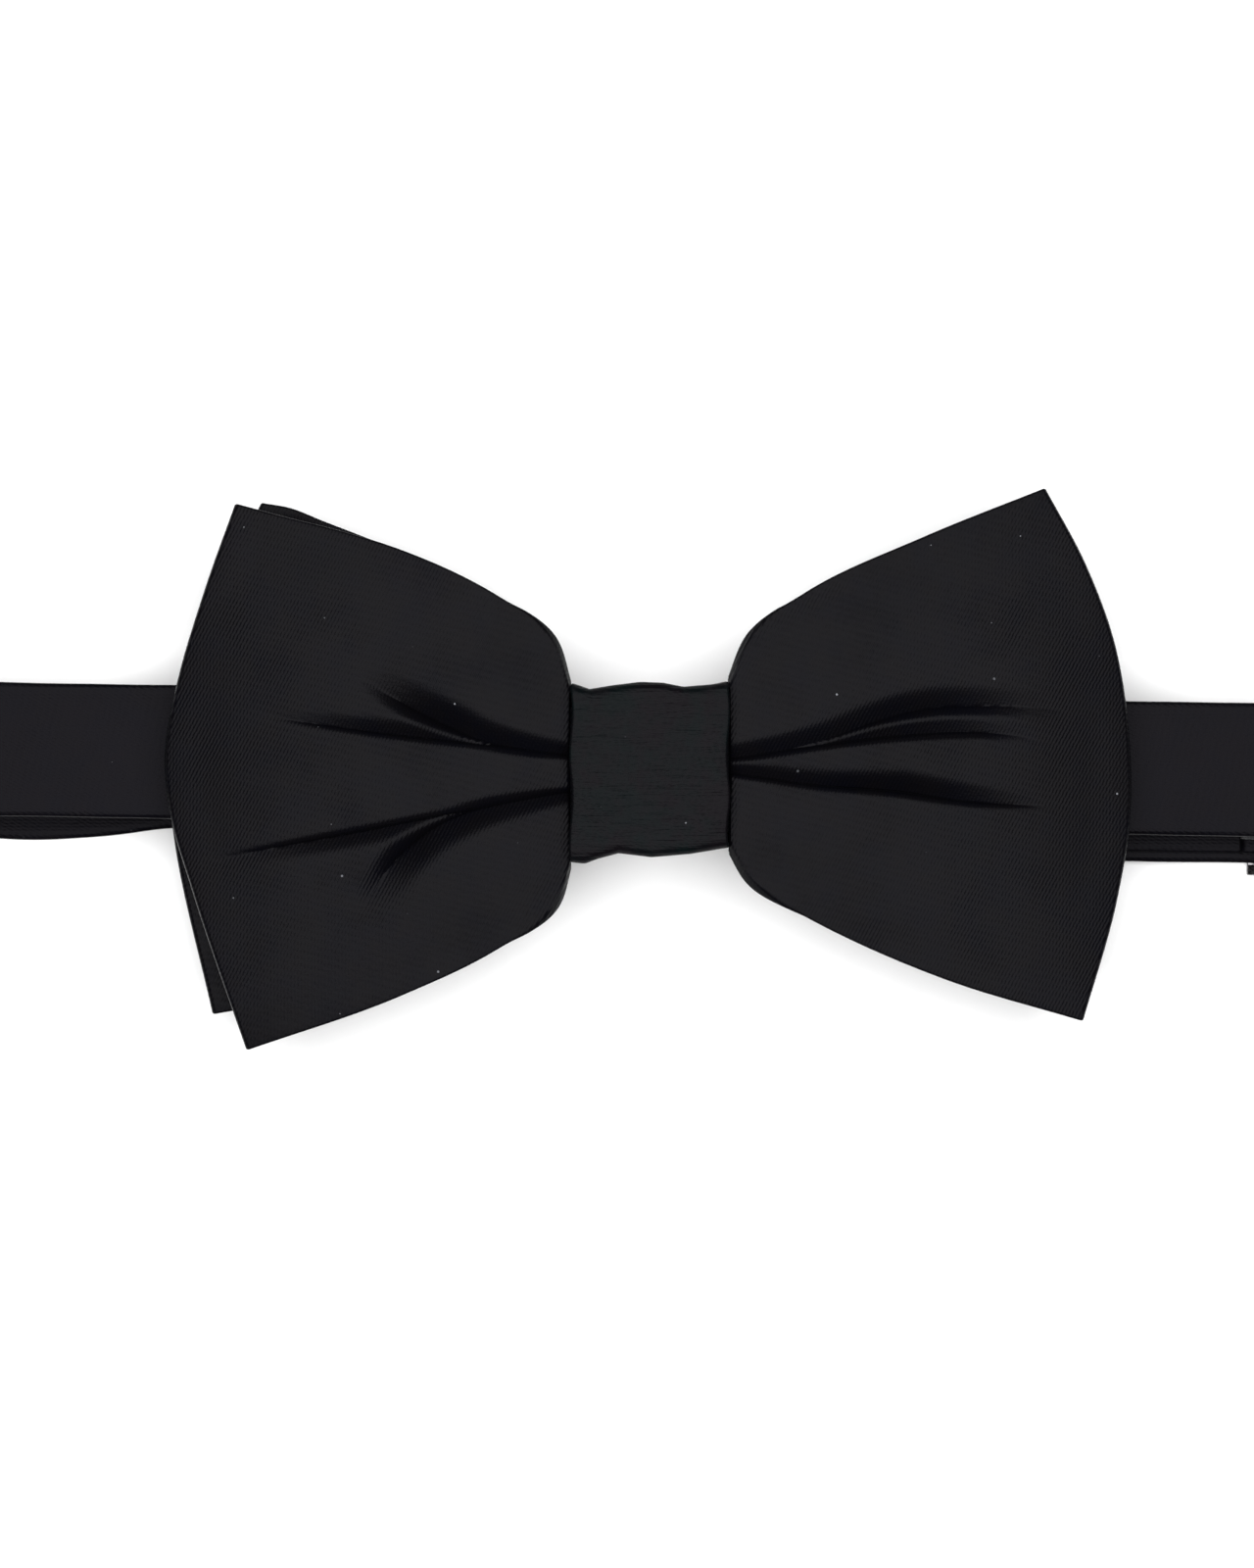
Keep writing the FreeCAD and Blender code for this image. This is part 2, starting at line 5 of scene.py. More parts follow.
import bpy
import numpy as np
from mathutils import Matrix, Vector


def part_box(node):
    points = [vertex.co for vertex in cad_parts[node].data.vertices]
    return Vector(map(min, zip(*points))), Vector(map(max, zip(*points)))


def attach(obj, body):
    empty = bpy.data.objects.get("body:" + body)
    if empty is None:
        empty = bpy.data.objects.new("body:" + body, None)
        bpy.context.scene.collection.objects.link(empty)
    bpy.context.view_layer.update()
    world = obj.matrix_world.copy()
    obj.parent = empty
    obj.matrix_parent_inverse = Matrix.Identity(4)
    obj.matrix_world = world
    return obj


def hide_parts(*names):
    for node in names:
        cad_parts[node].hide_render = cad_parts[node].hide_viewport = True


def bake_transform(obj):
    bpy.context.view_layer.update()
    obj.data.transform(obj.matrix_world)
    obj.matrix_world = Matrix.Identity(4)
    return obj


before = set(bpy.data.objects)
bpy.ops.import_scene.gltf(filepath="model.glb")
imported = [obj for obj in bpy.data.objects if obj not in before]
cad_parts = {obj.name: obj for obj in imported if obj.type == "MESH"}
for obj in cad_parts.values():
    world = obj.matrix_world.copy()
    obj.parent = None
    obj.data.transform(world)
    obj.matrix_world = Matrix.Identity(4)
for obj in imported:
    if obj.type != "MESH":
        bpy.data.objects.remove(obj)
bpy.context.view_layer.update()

# Lengths are millimetres unless a name or a comment says otherwise.
MM = 0.001

# Strap, in its own straight frame (see place_on_strap).
STRAP_TILT = math.radians(-0.95)
STRAP_SHIFT_Y = 1.2
STRAP_WIDTH = 16.8
STRAP_HALF_THICK = 0.4
RETURN_HALF_THICK = 0.3
STRAP_WAVER = 0.06
PATH_STEP = 0.5
FRONT_Z = 10.4
SPLIT_X = 12.0
LEFT_TURN_X = -92.6
LEFT_REAR_Y = -2.4
LEFT_REAR_Z = 0.4
LEFT_SEWN_Z = 1.25
REAR_BELOW_Z = 2.0
RIGHT_TURN_X = 93.075
MAIN_Y = -3.4
MAIN_Z = 1.35
MAIN_DRAWN_Y = MAIN_Y + 1.1
MAIN_DRAWN_X = 45.0
RETURN_Y = -2.2
RETURN_Z = 2.2
# Sideways swings of the left rear run: how far, where and how wide.
REAR_SWAYS = ((1.2, -59, 7), (-0.6, -78, 9))
# Places along the strap for the two pieces that span two bodies. They are turned into points below, which
# nothing else uses.
TURN_BLEND = (12, 86)
RETURN_BLEND = (-9, 69)

# Fasteners. BAR_R is the radius of the bars, and the others are those of the cloth loops round them.
FASTENER_Y = -2.7
BAR_R = 0.8
BAR_Z = 1.85
SLIDE_BAR_Z = 2.85
HOOK_LOOP_R = 1.4
HOOK_LOOP_SLACK = 0.9
RING_LOOP_R = 1.25
SLIDE_LOOP_R = 0.8
HOOK_LOOP_LENGTH = 5.5
RING_LOOP_LENGTH = 10.0
SLIDE_LOOP_LENGTH = 3.0
SLIDE_RAMP = 6.0
SEWN_LAP = 9.0
TAIL_LAP = 3.6
TAIL_Z = (3.3, 2.95)

# Wings: the same plans as the frame. All three edges run from the knot outwards or from the top down.
FRONT_LEFT = dict(
    upper=[
        (-9.5, 10.6), (-11.4, 16.4), (-18.3, 21.4), (-30.5, 27.2),
        (-38.5, 29.7), (-44.5, 31.2), (-50.8, 32.9),
    ],
    outer=[
        (-50.8, 32.9), (-54.8, 21.6), (-58.2, 10.0), (-59.6, 1.5),
        (-58.8, -6.0), (-56.3, -14.5), (-49.4, -34.8),
    ],
    lower=[(-9.5, -12.0), (-11.0, -17.0), (-18.3, -22.2), (-30.5, -28.1), (-49.4, -34.8)],
)
FRONT_RIGHT = dict(
    upper=[(10.2, 11.2), (12.4, 16.5), (19.5, 21.8), (34.1, 28.7), (49.2, 34.8)],
    outer=[(49.2, 34.8), (54.3, 25.2), (57.8, 15.8), (59.6, 5.0), (59.8, -6.0), (58.2, -16.0), (53.9, -31.2)],
    lower=[(10.2, -10.2), (12.4, -14.0), (19.5, -18.2), (36.6, -25.9), (53.9, -31.2)],
)
REAR_LEFT = dict(
    upper=[
        (-9.5, 9.6), (-11.6, 15.6), (-18.3, 20.8), (-32.0, 27.7),
        (-40.8, 31.2), (-44.6, 32.7), (-47.9, 33.3),
    ],
    outer=[(-47.9, 33.3), (-56.5, 16.0), (-59.9, 2.0), (-58.9, -8.1), (-54.0, -30.6)],
    lower=[(-9.5, -10.8), (-11.2, -15.8), (-18.3, -21.0), (-32.0, -26.6), (-54.0, -30.6)],
)
REAR_RIGHT = dict(
    upper=[(10.2, 10.2), (12.6, 15.6), (19.5, 20.8), (34.1, 27.6), (48.6, 33.4)],
    outer=[(48.6, 33.4), (56.6, 16.0), (59.0, 3.0), (58.8, -8.0), (53.2, -29.8)],
    lower=[(10.2, -9.4), (12.6, -13.2), (19.5, -17.2), (36.6, -24.9), (53.2, -29.8)],
)
# under and over are heights of the loop's outside at the knot, half way out and at the outer fold. rim is how
# far up the loop's edges lie between the lowest and the highest of them. rows is how many one ply has.
FRONT_BOW = dict(under=(16.0, 15.5, 16.6), over=(22.6, 23.0, 19.2), rim=0.64, rows=105)
REAR_BOW = dict(under=(11.4, 11.3, 11.0), over=(15.4, 14.9, 13.4), rim=0.42, rows=60)
WING_COLUMNS = 200
COLUMN_CROWDING = 0.6
FOLD_ROWS = 14
FOLD_SHARE = 0.007
HALF_SPAN = 36.0
ROOF_POWER = 2.6
ROOF_ROUND = 3.0
PLY_HALF = 0.32
PLY_AIR = 0.15
PLY_END_ROUND = 0.5
# Pleats at the knot, and how deep pleats and slow waves press in. The last two are shares of the room inside.
PLEATS = 5
PLEAT_DEPTH = 1.1
REAR_PLEAT_DEPTH = 1.0
FRONT_WAVE = 0.12
HIDDEN_WAVE = 0.3
UNDER_WAVE = 0.25
DEEPEST_FRONT = 1.5
DEEPEST_UNDER = 0.45
# Shares of the way out over which dents die away before the fold, and share of the width beside the edges.
CALM_FOLD = (0.9, 0.99)
CALM_EDGE = 0.06
# The pressed-down rim beside the knot: steepness, width at the knot and where along the wing it runs out.
SHOULDER_SLOPE = 0.95
SHOULDER_REACH = 1.5
SHOULDER_FADE = (0.06, 0.26)
RIM_COLUMNS = 10
LEAST_RIM = 0.3
UNDER_SHOULDER = 0.3
PRESSED_ANGLE = math.radians(38)

# Creases that run out from the knot. Each is a trough whose bottom follows a line. On one side of the line
# (1 is above, -1 below) it slopes gently. On the other a wall rises, and the cloth laps over the trough.
# widths and walls are how wide the slope and the wall are at the line's start, middle and end. steep is the
# trough's depth over its width. lap is how far the cloth slides over, as a share of the depth. fade is the
# share of the way out where the crease starts to die away.
LEFT_CREASES = [
    dict(
        points=[(-8, 1.3), (-14.8, 2.1), (-20.5, 3.4), (-26.0, 5.8), (-31.0, 8.6), (-38.0, 13.0)],
        side=1, widths=(1.8, 3.3, 3.2), walls=(0.8, 1.6, 1.8), steep=0.58, lap=0.2, fade=0.5,
    ),
    dict(
        points=[(-8, 1.2), (-19.6, 2.5), (-26.9, 3.3), (-37.8, 5.0), (-54.0, 7.8)],
        side=1, widths=(1.8, 2.3, 1.4), walls=(0.7, 0.8, 0.8), steep=0.6, lap=0.5, fade=0.35,
    ),
    dict(
        points=[(-8, -2.2), (-19.6, -4.2), (-29.3, -6.0), (-39.0, -8.1), (-60.0, -12.6)],
        side=-1, widths=(1.8, 2.4, 1.8), walls=(0.7, 0.8, 0.8), steep=0.6, lap=0.5, fade=0.45,
    ),
    dict(
        points=[(-8, -2.2), (-15, -3.4), (-21.5, -5), (-26.5, -7.2), (-30.0, -10), (-36.5, -19)],
        side=-1, widths=(1.8, 3.2, 3.8), walls=(0.8, 1.8, 2.2), steep=0.6, lap=0.2, fade=0.6,
    ),
]
RIGHT_CREASES = [
    dict(
        points=[(8, 0.9), (16.4, 2.2), (22.5, 3.7), (28.6, 5.9), (34.7, 7.4), (42.5, 7.8), (57.0, 7.0)],
        side=1, widths=(1.9, 2.7, 2.4), walls=(0.8, 1.5, 1.8), steep=0.52, lap=0.15, fade=0.5,
    ),
    dict(
        points=[(8, 0.8), (16.4, 2.0), (25.5, 3.3), (33.0, 4.1), (40.0, 4.5), (46.0, 4.1), (53.0, 2.6)],
        side=1, widths=(1.6, 2.4, 2.0), walls=(0.7, 0.9, 1.2), steep=0.56, lap=0.3, fade=0.5,
    ),
    dict(
        points=[(8, -0.5), (14.0, -1.4), (20.0, -2.4), (28.0, -3.2), (37.7, -4.1), (56.0, -4.7)],
        side=1, widths=(1.3, 3.4, 1.2), walls=(0.7, 0.8, 0.8), steep=0.62, lap=0.5, fade=0.45,
    ),
]
CREASE_STEPS = 40
TROUGH_ROUND = 0.06
TROUGH_JOIN = 0.15
LAP_RISE = 0.5
LAP_REACH = 4.0
LAP_LOSS = 0.4
LAP_LOSS_SPAN = (0.35, 0.9)

# Knot, its padding and what it holds.
KNOT_X = (-9.4, 10.1)
KNOT_Y = (-10.8, 10.6)
KNOT_Z = (8.9, 25.2)
KNOT_WIDTH = KNOT_X[1] - KNOT_X[0]
KNOT_MIDDLE_X = 0.35
BAND_HALF = 0.38
BAND_INSET = 0.4
BAND_RADII = (0.7, 0.9)
BAND_EDGE_ROUND = 0.2
KNOT_TOP_EDGE = [
    (-9.4, 10.7), (-7.1, 9.9), (-4.1, 10.4), (-0.8, 10.8),
    (2.0, 10.7), (4.5, 10.2), (8.1, 10.5), (10.1, 10.9),
]
KNOT_LOW_EDGE = [
    (-9.4, -11.5), (-7.7, -11.7), (-6.1, -11.1), (-3.5, -10.4),
    (0.6, -10.9), (5.3, -10.5), (10.1, -9.7),
]
PAD_HALF = 0.42
PAD_MARGIN = 0.6
PAD_LOWEST = 11.2
WAIST_Y = (-7.8, 7.6)
WAIST_HALF = 0.3
LINING_HALF = 0.16
LABEL_X = (-84, -62)
LABEL_HALF_WIDTH = 5.5

# Thread: pitch and count of a row of stitches across the strap, and the usual stitch.
TACK_PITCH = 1.6
TACK_COUNT = 9
STITCH_LENGTH = 2.2
STITCH_R = 0.14
WINDING_R = 0.24
WINDING_PITCH = 0.6

# Satin: rib spacing, and the period of a wave texture at scale 1.
RIB_PITCH = 0.42
WAVE_PERIOD = 0.314

# Camera straight above: the height of the picture in metres, at the height of the bow's face.
LENS = 150.0
SENSOR = 36.0
VIEW_HEIGHT = 0.1951
VIEW_PLANE_Z = 0.017
VIEW_CENTRE = (-0.00244, -0.00183)


# Curves and surfaces ------------------------------------------------------------------------------


def arc_lengths(points):
    """Length along a line of points, at each of them."""
    return np.concatenate([[0], np.cumsum(np.linalg.norm(np.diff(points, axis=0), axis=1))])


def curve_through(points):
    """Smooth curve through points, as a function of the share of the way along."""
    p = np.array(points, float)
    at = arc_lengths(p)
    at /= at[-1]
    slope = np.gradient(p, at, axis=0)

    def value(t):
        t = np.clip(np.asarray(t, float), 0, 1)
        i = np.clip(np.searchsorted(at, t, side="right") - 1, 0, len(p) - 2)
        h = (at[i + 1] - at[i])[..., None]
        s = (t[..., None] - at[i][..., None]) / h
        near = (2 * s**3 - 3 * s**2 + 1) * p[i] + (s**3 - 2 * s**2 + s) * h * slope[i]
        return near + (3 * s**2 - 2 * s**3) * p[i + 1] + (s**3 - s**2) * h * slope[i + 1]

    return value


def evenly_spaced(points, step, closed=False):
    """Points at even steps along a line of points, which may come back to its start."""
    p = np.array(list(points) + list(points[:1]) if closed else points, float)
    at = arc_lengths(p)
    even = np.linspace(0, at[-1], int(at[-1] / step), endpoint=not closed)
    return np.stack([np.interp(even, at, column) for column in p.T], -1)


def smooth(low, high, x):
    """0 below low, 1 above high and smooth between."""
    t = np.clip((x - low) / (high - low), 0, 1)
    return t * t * (3 - 2 * t)


def bell(x, middle, width):
    """1 at the middle, dying away on both sides."""
    return np.exp(-(((x - middle) / width) ** 2))


def soft_min(a, b, reach):
    """The smaller of two values, with the corner between them rounded over reach."""
    h = np.clip(0.5 + 0.5 * (b - a) / reach, 0, 1)
    return b + (a - b) * h - reach * h * (1 - h)


def soft_max(a, b, reach):
    """The larger of two values, with the corner between them rounded over reach."""
    return -soft_min(-a, -b, reach)


def grid_normals(p, wrap=False):
    """Unit normals of a grid of points."""
    if wrap:
        along = np.roll(p, -1, 0) - np.roll(p, 1, 0)
    else:
        along = np.gradient(p, axis=0)
    across = np.gradient(p, axis=1)
    n = np.cross(along, across)
    return n / np.maximum(np.linalg.norm(n, axis=-1, keepdims=True), 1e-9)


def even_ends(count, ends=(0.0, 0.002, 0.006, 0.014)):
    """Shares from 0 to 1 that crowd together at both ends, for rounded edges."""
    middle = np.linspace(ends[-1], 1 - ends[-1], count)
    return np.concatenate([ends[:-1], middle, [1 - e for e in reversed(ends[:-1])]])


def edge_round(distance, radius):
    """Half circle profile: 0 at an edge and 1 from radius inwards."""
    d = np.clip(distance / radius, 0, 1)
    return np.sqrt(np.clip(1 - (1 - d) ** 2, 0, 1))


def rounded_loop(y, z, front_radius, back_radius, step=0.35):
    """Closed rounded rectangle in YZ, with its own radii at the front and the back."""
    corners = (
        (y[1] - front_radius, z[1] - front_radius, front_radius, 0),
        (y[0] + front_radius, z[1] - front_radius, front_radius, 90),
        (y[0] + back_radius, z[0] + back_radius, back_radius, 180),
        (y[1] - back_radius, z[0] + back_radius, back_radius, 270),
    )
    points = []
    for cy, cz, radius, first in corners:
        for a in np.radians(np.linspace(first, first + 90, 12)):
            points.append((cy + radius * math.cos(a), cz + radius * math.sin(a)))
    return evenly_spaced(points, step, closed=True)


# Meshes -------------------------------------------------------------------------------------------


def new_object(name, verts, faces, material):
    """Smooth-shaded mesh object from millimetre points."""
    mesh = bpy.data.meshes.new(name)
    mesh.from_pydata([tuple(v) for v in np.asarray(verts) * MM], [], faces)
    mesh.validate()
    mesh.update()
    mesh.polygons.foreach_set("use_smooth", [True] * len(mesh.polygons))
    mesh.materials.append(material)
    obj = bpy.data.objects.new(name, mesh)
    bpy.context.scene.collection.objects.link(obj)
    return obj


def shell(mid, half, wrap=False):
    """Points and faces of a closed sheet round a grid of middle points. half is 0 along the open edges."""
    rows, cols = mid.shape[:2]
    normal = grid_normals(mid, wrap)
    top = mid + normal * half[..., None]
    low = mid - normal * half[..., None]
    index_top = np.arange(rows * cols).reshape(rows, cols)
    index_low = index_top.copy()
    inner = np.ones((rows, cols), bool)
    inner[:, 0] = inner[:, -1] = False
    if not wrap:
        inner[0] = inner[-1] = False
    index_low[inner] = rows * cols + np.arange(inner.sum())
    faces = []
    for i in range(rows if wrap else rows - 1):
        j = (i + 1) % rows
        a, b = index_top[i], index_top[j]
        c, d = index_low[i], index_low[j]
        for k in range(cols - 1):
            faces.append((a[k], b[k], b[k + 1], a[k + 1]))
            faces.append((c[k], c[k + 1], d[k + 1], d[k]))
    verts = np.concatenate([top.reshape(-1, 3), low[inner]])
    return verts, [tuple(int(x) for x in dict.fromkeys(f)) for f in faces]


def tube(path, radius, sides=8, closed=False):
    """Points and faces of a round tube along a path. The ends of an open one are drawn in and capped."""
    p = np.array(path, float)
    count = len(p)
    if closed:
        along = np.roll(p, -1, 0) - np.roll(p, 1, 0)
    else:
        along = np.gradient(p, axis=0)
    along /= np.linalg.norm(along, axis=1, keepdims=True)
    side = np.cross(along, [0.0, 0.0, 1.0])
    weak = np.linalg.norm(side, axis=1) < 0.2
    side[weak] = np.cross(along[weak], [1.0, 0.0, 0.0])
    side /= np.linalg.norm(side, axis=1, keepdims=True)
    up = np.cross(side, along)
    angle = np.arange(sides) / sides * 2 * math.pi
    radii = np.full(count, radius, float)
    if not closed:
        radii[0] = radii[-1] = radius * 0.35
    ring = side[:, None] * np.cos(angle)[None, :, None] + up[:, None] * np.sin(angle)[None, :, None]
    verts = (p[:, None] + ring * radii[:, None, None]).reshape(-1, 3)
    faces = []
    for i in range(count if closed else count - 1):
        j = (i + 1) % count
        for k in range(sides):
            m = (k + 1) % sides
            faces.append((i * sides + k, i * sides + m, j * sides + m, j * sides + k))
    if not closed:
        faces.append(tuple(reversed(range(sides))))
        faces.append(tuple((count - 1) * sides + k for k in range(sides)))
    return verts, faces


def merged(parts):
    """Several (points, faces) pairs as one."""
    verts, faces, base = [], [], 0
    for v, f in parts:
        verts.append(np.asarray(v))
        faces += [tuple(i + base for i in face) for face in f]
        base += len(v)
    return np.concatenate(verts), faces


def place_on_strap(points):
    """From the strap's own straight frame to its place under the bow."""
    p = np.array(points, float)
    c, s = math.cos(STRAP_TILT), math.sin(STRAP_TILT)
    x, y = p[..., 0].copy(), p[..., 1].copy()
    p[..., 0] = x * c - y * s
    p[..., 1] = x * s + y * c + STRAP_SHIFT_Y
    return p


def strap_x(node, share):
    """Position along the strap of a fastener's start (share 0), middle (0.5) or end (1)."""
    low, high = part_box(node)
    lean = abs(math.sin(STRAP_TILT)) * (high.y - low.y) / 2
    x = low.x + lean + (high.x - low.x - 2 * lean) * share
    return (x / MM + FASTENER_Y * math.sin(STRAP_TILT)) / math.cos(STRAP_TILT)


RING_BAR_X = strap_x("eye_ring", 1) - BAR_R
HOOK_BAR_X = strap_x("hook", 0) + BAR_R
SLIDE_X = strap_x("slide_adjuster", 0.5)
HOOK_SEWN_X = HOOK_BAR_X - HOOK_LOOP_LENGTH
RING_LOOP_X = RING_BAR_X + RING_LOOP_LENGTH
TAIL_X = SLIDE_X - SLIDE_LOOP_LENGTH


# Materials ----------------------------------------------------------------------------------------


class Nodes:
    """Small helper that builds a shader tree. Inputs are plain values or other nodes' outputs."""

    def __init__(self, name):
        self.material = bpy.data.materials.new(name)
        self.material.use_nodes = True
        self.tree = self.material.node_tree
        self.tree.nodes.clear()

    def add(self, kind, inputs=None, **settings):
        node = self.tree.nodes.new(kind)
        for key, value in settings.items():
            setattr(node, key, value)
        for key, value in (inputs or {}).items():
            if isinstance(value, bpy.types.NodeSocket):
                self.tree.links.new(value, node.inputs[key])
            else:
                node.inputs[key].default_value = value
        return node

    def math(self, operation, a, b, clamp=False):
        return self.add("ShaderNodeMath", {0: a, 1: b}, operation=operation, use_clamp=clamp).outputs[0]

    def point(self, rotation=(0, 0, 0), scale=(1000, 1000, 1000)):
        """Place on the object, in millimetres."""
        coords = self.add("ShaderNodeTexCoord").outputs["Object"]
        inputs = {"Vector": coords, "Rotation": rotation, "Scale": scale}
        return self.add("ShaderNodeMapping", inputs).outputs[0]

    def noise(self, vector, scale, detail, roughness=0.5):
        inputs = {"Vector": vector, "Scale": scale, "Detail": detail, "Roughness": roughness}
        return self.add("ShaderNodeTexNoise", inputs).outputs["Fac"]

    def bands(self, vector, direction, distortion):
        """Wavy bands, one rib's pitch apart."""
        inputs = {"Vector": vector, "Scale": WAVE_PERIOD / RIB_PITCH, "Distortion": distortion, "Detail": 1.0}
        node = self.add("ShaderNodeTexWave", inputs, wave_type="BANDS", bands_direction=direction)
        return node.outputs["Fac"]

    def remap(self, value, low, high, to_low, to_high):
        inputs = {"Value": value, "From Min": low, "From Max": high, "To Min": to_low, "To Max": to_high}
        return self.add("ShaderNodeMapRange", inputs).outputs[0]

    def mix(self, factor, first, second):
        """Blend of two colours."""
        return self.add("ShaderNodeMix", {0: factor, 6: first, 7: second}, data_type="RGBA").outputs[2]

    def scaled(self, colour, factor):
        return self.add("ShaderNodeVectorMath", {0: colour, "Scale": factor}, operation="SCALE").outputs[0]

    def bump(self, height, strength, distance):
        inputs = {"Height": height, "Strength": strength, "Distance": distance}
        return self.add("ShaderNodeBump", inputs).outputs[0]

    def finish(self, inputs):
        """The material, with a Principled shader that has these inputs."""
        shader = self.add("ShaderNodeBsdfPrincipled", inputs)
        self.add("ShaderNodeOutputMaterial", {"Surface": shader.outputs[0]})
        return self.material


def satin_height(n, flat, turn, twill, streak):
    """Relief of satin: twill that comes and goes, ribs, fibres and, where asked for, long slack threads."""
    lines = n.bands(n.point((0, 0, turn + math.radians(-62))), "Y", 0.8)
    patches = n.math("SUBTRACT", n.noise(flat, 0.13, 2.0), 0.44, True)
    share = n.math("ADD", n.math("MULTIPLY", patches, 2.0, True), 0.45)
    woven = n.math("MULTIPLY", lines, n.math("MULTIPLY", share, twill))
    ribbed = n.math("MULTIPLY", n.bands(flat, "X", 0.6), 0.12)
    fibres = n.math("MULTIPLY", n.noise(flat, 3.2, 2.0), 0.5)
    slack = n.math("MULTIPLY", n.noise(n.point((0, 0, turn), (260, 3600, 1500)), 1.0, 2.0), streak)
    return n.math("ADD", n.math("ADD", n.math("ADD", woven, ribbed), fibres), slack)


def lint_specks(n, flat, lint, scale):
    """Sparse specks of lint, some fainter than others."""
    inputs = {"Vector": flat, "Scale": scale, "Randomness": 1.0}
    dots = n.add("ShaderNodeTexVoronoi", inputs, voronoi_dimensions="2D")
    chance = n.add("ShaderNodeSeparateColor", {"Color": dots.outputs["Color"]})
    size = n.math("MULTIPLY", chance.outputs["Green"], 0.16 * scale)
    near = n.math("LESS_THAN", dots.outputs["Distance"], size)
    strength = n.math("SUBTRACT", chance.outputs["Red"], 0.45, True)
    return n.math("MULTIPLY", n.math("MULTIPLY", near, strength), lint)


def satin(
    name, base, second, tint, turn=0.0, twill=0.6, streak=0.0, lint=1.0, lint_scale=0.085, specular=0.0425
):
    """Black satin: fine weave, clouds of a second colour, and stray lint. turn is the weave's angle."""
    n = Nodes(name)
    flat = n.point((0, 0, turn))
    height = satin_height(n, flat, turn, twill, streak)
    tone = n.remap(n.noise(flat, 0.05, 3.0), 0.3, 0.7, 0.86, 1.14)
    level = n.math("MULTIPLY", tone, n.remap(height, 0.0, 1.4, 0.8, 1.25))
    clouds = n.remap(n.noise(flat, 0.22, 4.0, 0.65), 0.42, 0.62, 0.0, 1.0)
    shade = n.scaled(n.mix(clouds, (*base, 1), (*second, 1)), level)
    speck = lint_specks(n, flat, lint, lint_scale)
    return n.finish({
        "Base Color": n.mix(speck, shade, (0.32, 0.33, 0.36, 1)),
        "Normal": n.bump(height, 0.5, 0.00012),
        "Roughness": 0.38,
        "Specular IOR Level": specular,
        "Specular Tint": (*tint, 1),
        "Sheen Weight": 0.004,
        "Sheen Roughness": 0.45,
        "Sheen Tint": (0.8, 0.84, 1.0, 1),
    })


def matte_cloth(name, base, fibre, roughness=0.85):
    """Felt, canvas or thread: fibrous bump and uneven colour."""
    n = Nodes(name)
    flat = n.point()
    fibres = n.noise(flat, fibre, 4.0, 0.7)
    weave = n.add("ShaderNodeTexChecker", {"Vector": flat, "Scale": fibre})
    height = n.math("ADD", fibres, n.math("MULTIPLY", weave.outputs["Fac"], 0.3))
    return n.finish({
        "Base Color": n.scaled(base, n.remap(fibres, 0.3, 0.7, 0.75, 1.25)),
        "Normal": n.bump(height, 0.5, 0.0002),
        "Roughness": roughness,
        "Sheen Weight": 0.25,
    })


def dark_metal(name):
    """Black nickel: brushed a little, worn brighter in patches."""
    n = Nodes(name)
    brush = n.noise(n.point((0, 0, 0), (300, 4000, 4000)), 1.0, 3.0)
    wear = n.noise(n.point(), 0.5, 3.0)
    return n.finish({
        "Base Color": n.mix(wear, (0.09, 0.09, 0.1, 1), (0.2, 0.19, 0.19, 1)),
        "Normal": n.bump(brush, 0.12, 0.0001),
        "Roughness": n.remap(brush, 0.3, 0.7, 0.2, 0.34),
        "Metallic": 1.0,
    })


def paper(name):
    """Plain, almost white paper."""
    n = Nodes(name)
    tone = n.remap(n.noise(n.point(), 0.8, 3.0), 0.0, 1.0, 0.95, 0.97)
    colour = n.add("ShaderNodeCombineColor", {"Red": tone, "Green": tone, "Blue": tone})
    return n.finish({"Base Color": colour.outputs[0], "Roughness": 0.9})


BOW_SATIN = satin("bow_satin", (0.0017, 0.0015, 0.0021), (0.0013, 0.0013, 0.0024), (0.97, 0.95, 1.0))
KNOT_SATIN = satin(
    "knot_satin", (0.0020, 0.0015, 0.0022), (0.0008, 0.0021, 0.0023), (0.97, 0.95, 1.0),
    turn=math.pi / 2, twill=0.2, streak=1.8, lint_scale=0.13, specular=0.04,
)
STRAP_SATIN = satin(
    "strap_satin", (0.0015, 0.0012, 0.0020), (0.0012, 0.0011, 0.0022), (0.93, 0.90, 1.0),
    turn=math.pi / 2, twill=0.25, lint=0.4, specular=0.039,
)
INTERLINING = matte_cloth("interlining", (0.52, 0.5, 0.46), fibre=2.4)
FELT = matte_cloth("felt", (0.05, 0.05, 0.055), fibre=1.6, roughness=0.95)
THREAD = matte_cloth("thread", (0.012, 0.012, 0.015), fibre=6.0, roughness=0.6)
LABEL_RIBBON = matte_cloth("label_ribbon", (0.03, 0.03, 0.038), fibre=3.5, roughness=0.55)
METAL = dark_metal("black_nickel")


# Wings --------------------------------------------------------------------------------------------


def plan_point(plan, u, v):
    """Point of a wing's plan: u runs from the knot to the outer fold, v from the lower to the upper edge."""
    upper, lower = curve_through(plan["upper"]), curve_through(plan["lower"])
    tip = curve_through(plan["outer"][::-1])
    root = curve_through([plan["lower"][0], plan["upper"][0]])
    uu, vv = u[..., None], v[..., None]
    a, b = np.array(plan["lower"][0]), np.array(plan["upper"][0])
    c, d = np.array(plan["lower"][-1]), np.array(plan["upper"][-1])
    corners = (1 - uu) * ((1 - vv) * a + vv * b) + uu * ((1 - vv) * c + vv * d)
    return (1 - vv) * lower(u) + vv * upper(u) + (1 - uu) * root(v) + uu * tip(v) - corners


def three_heights(values, x, reach=60.0, root=9.0):
    """Height at distance x from the middle, by a smooth curve through the three values."""
    t = np.clip((np.abs(x) - root) / (reach - root), 0, 1)
    a, b, c = values
    return a * (1 - t) * (1 - 2 * t) + 4 * b * t * (1 - t) + c * t * (2 * t - 1)


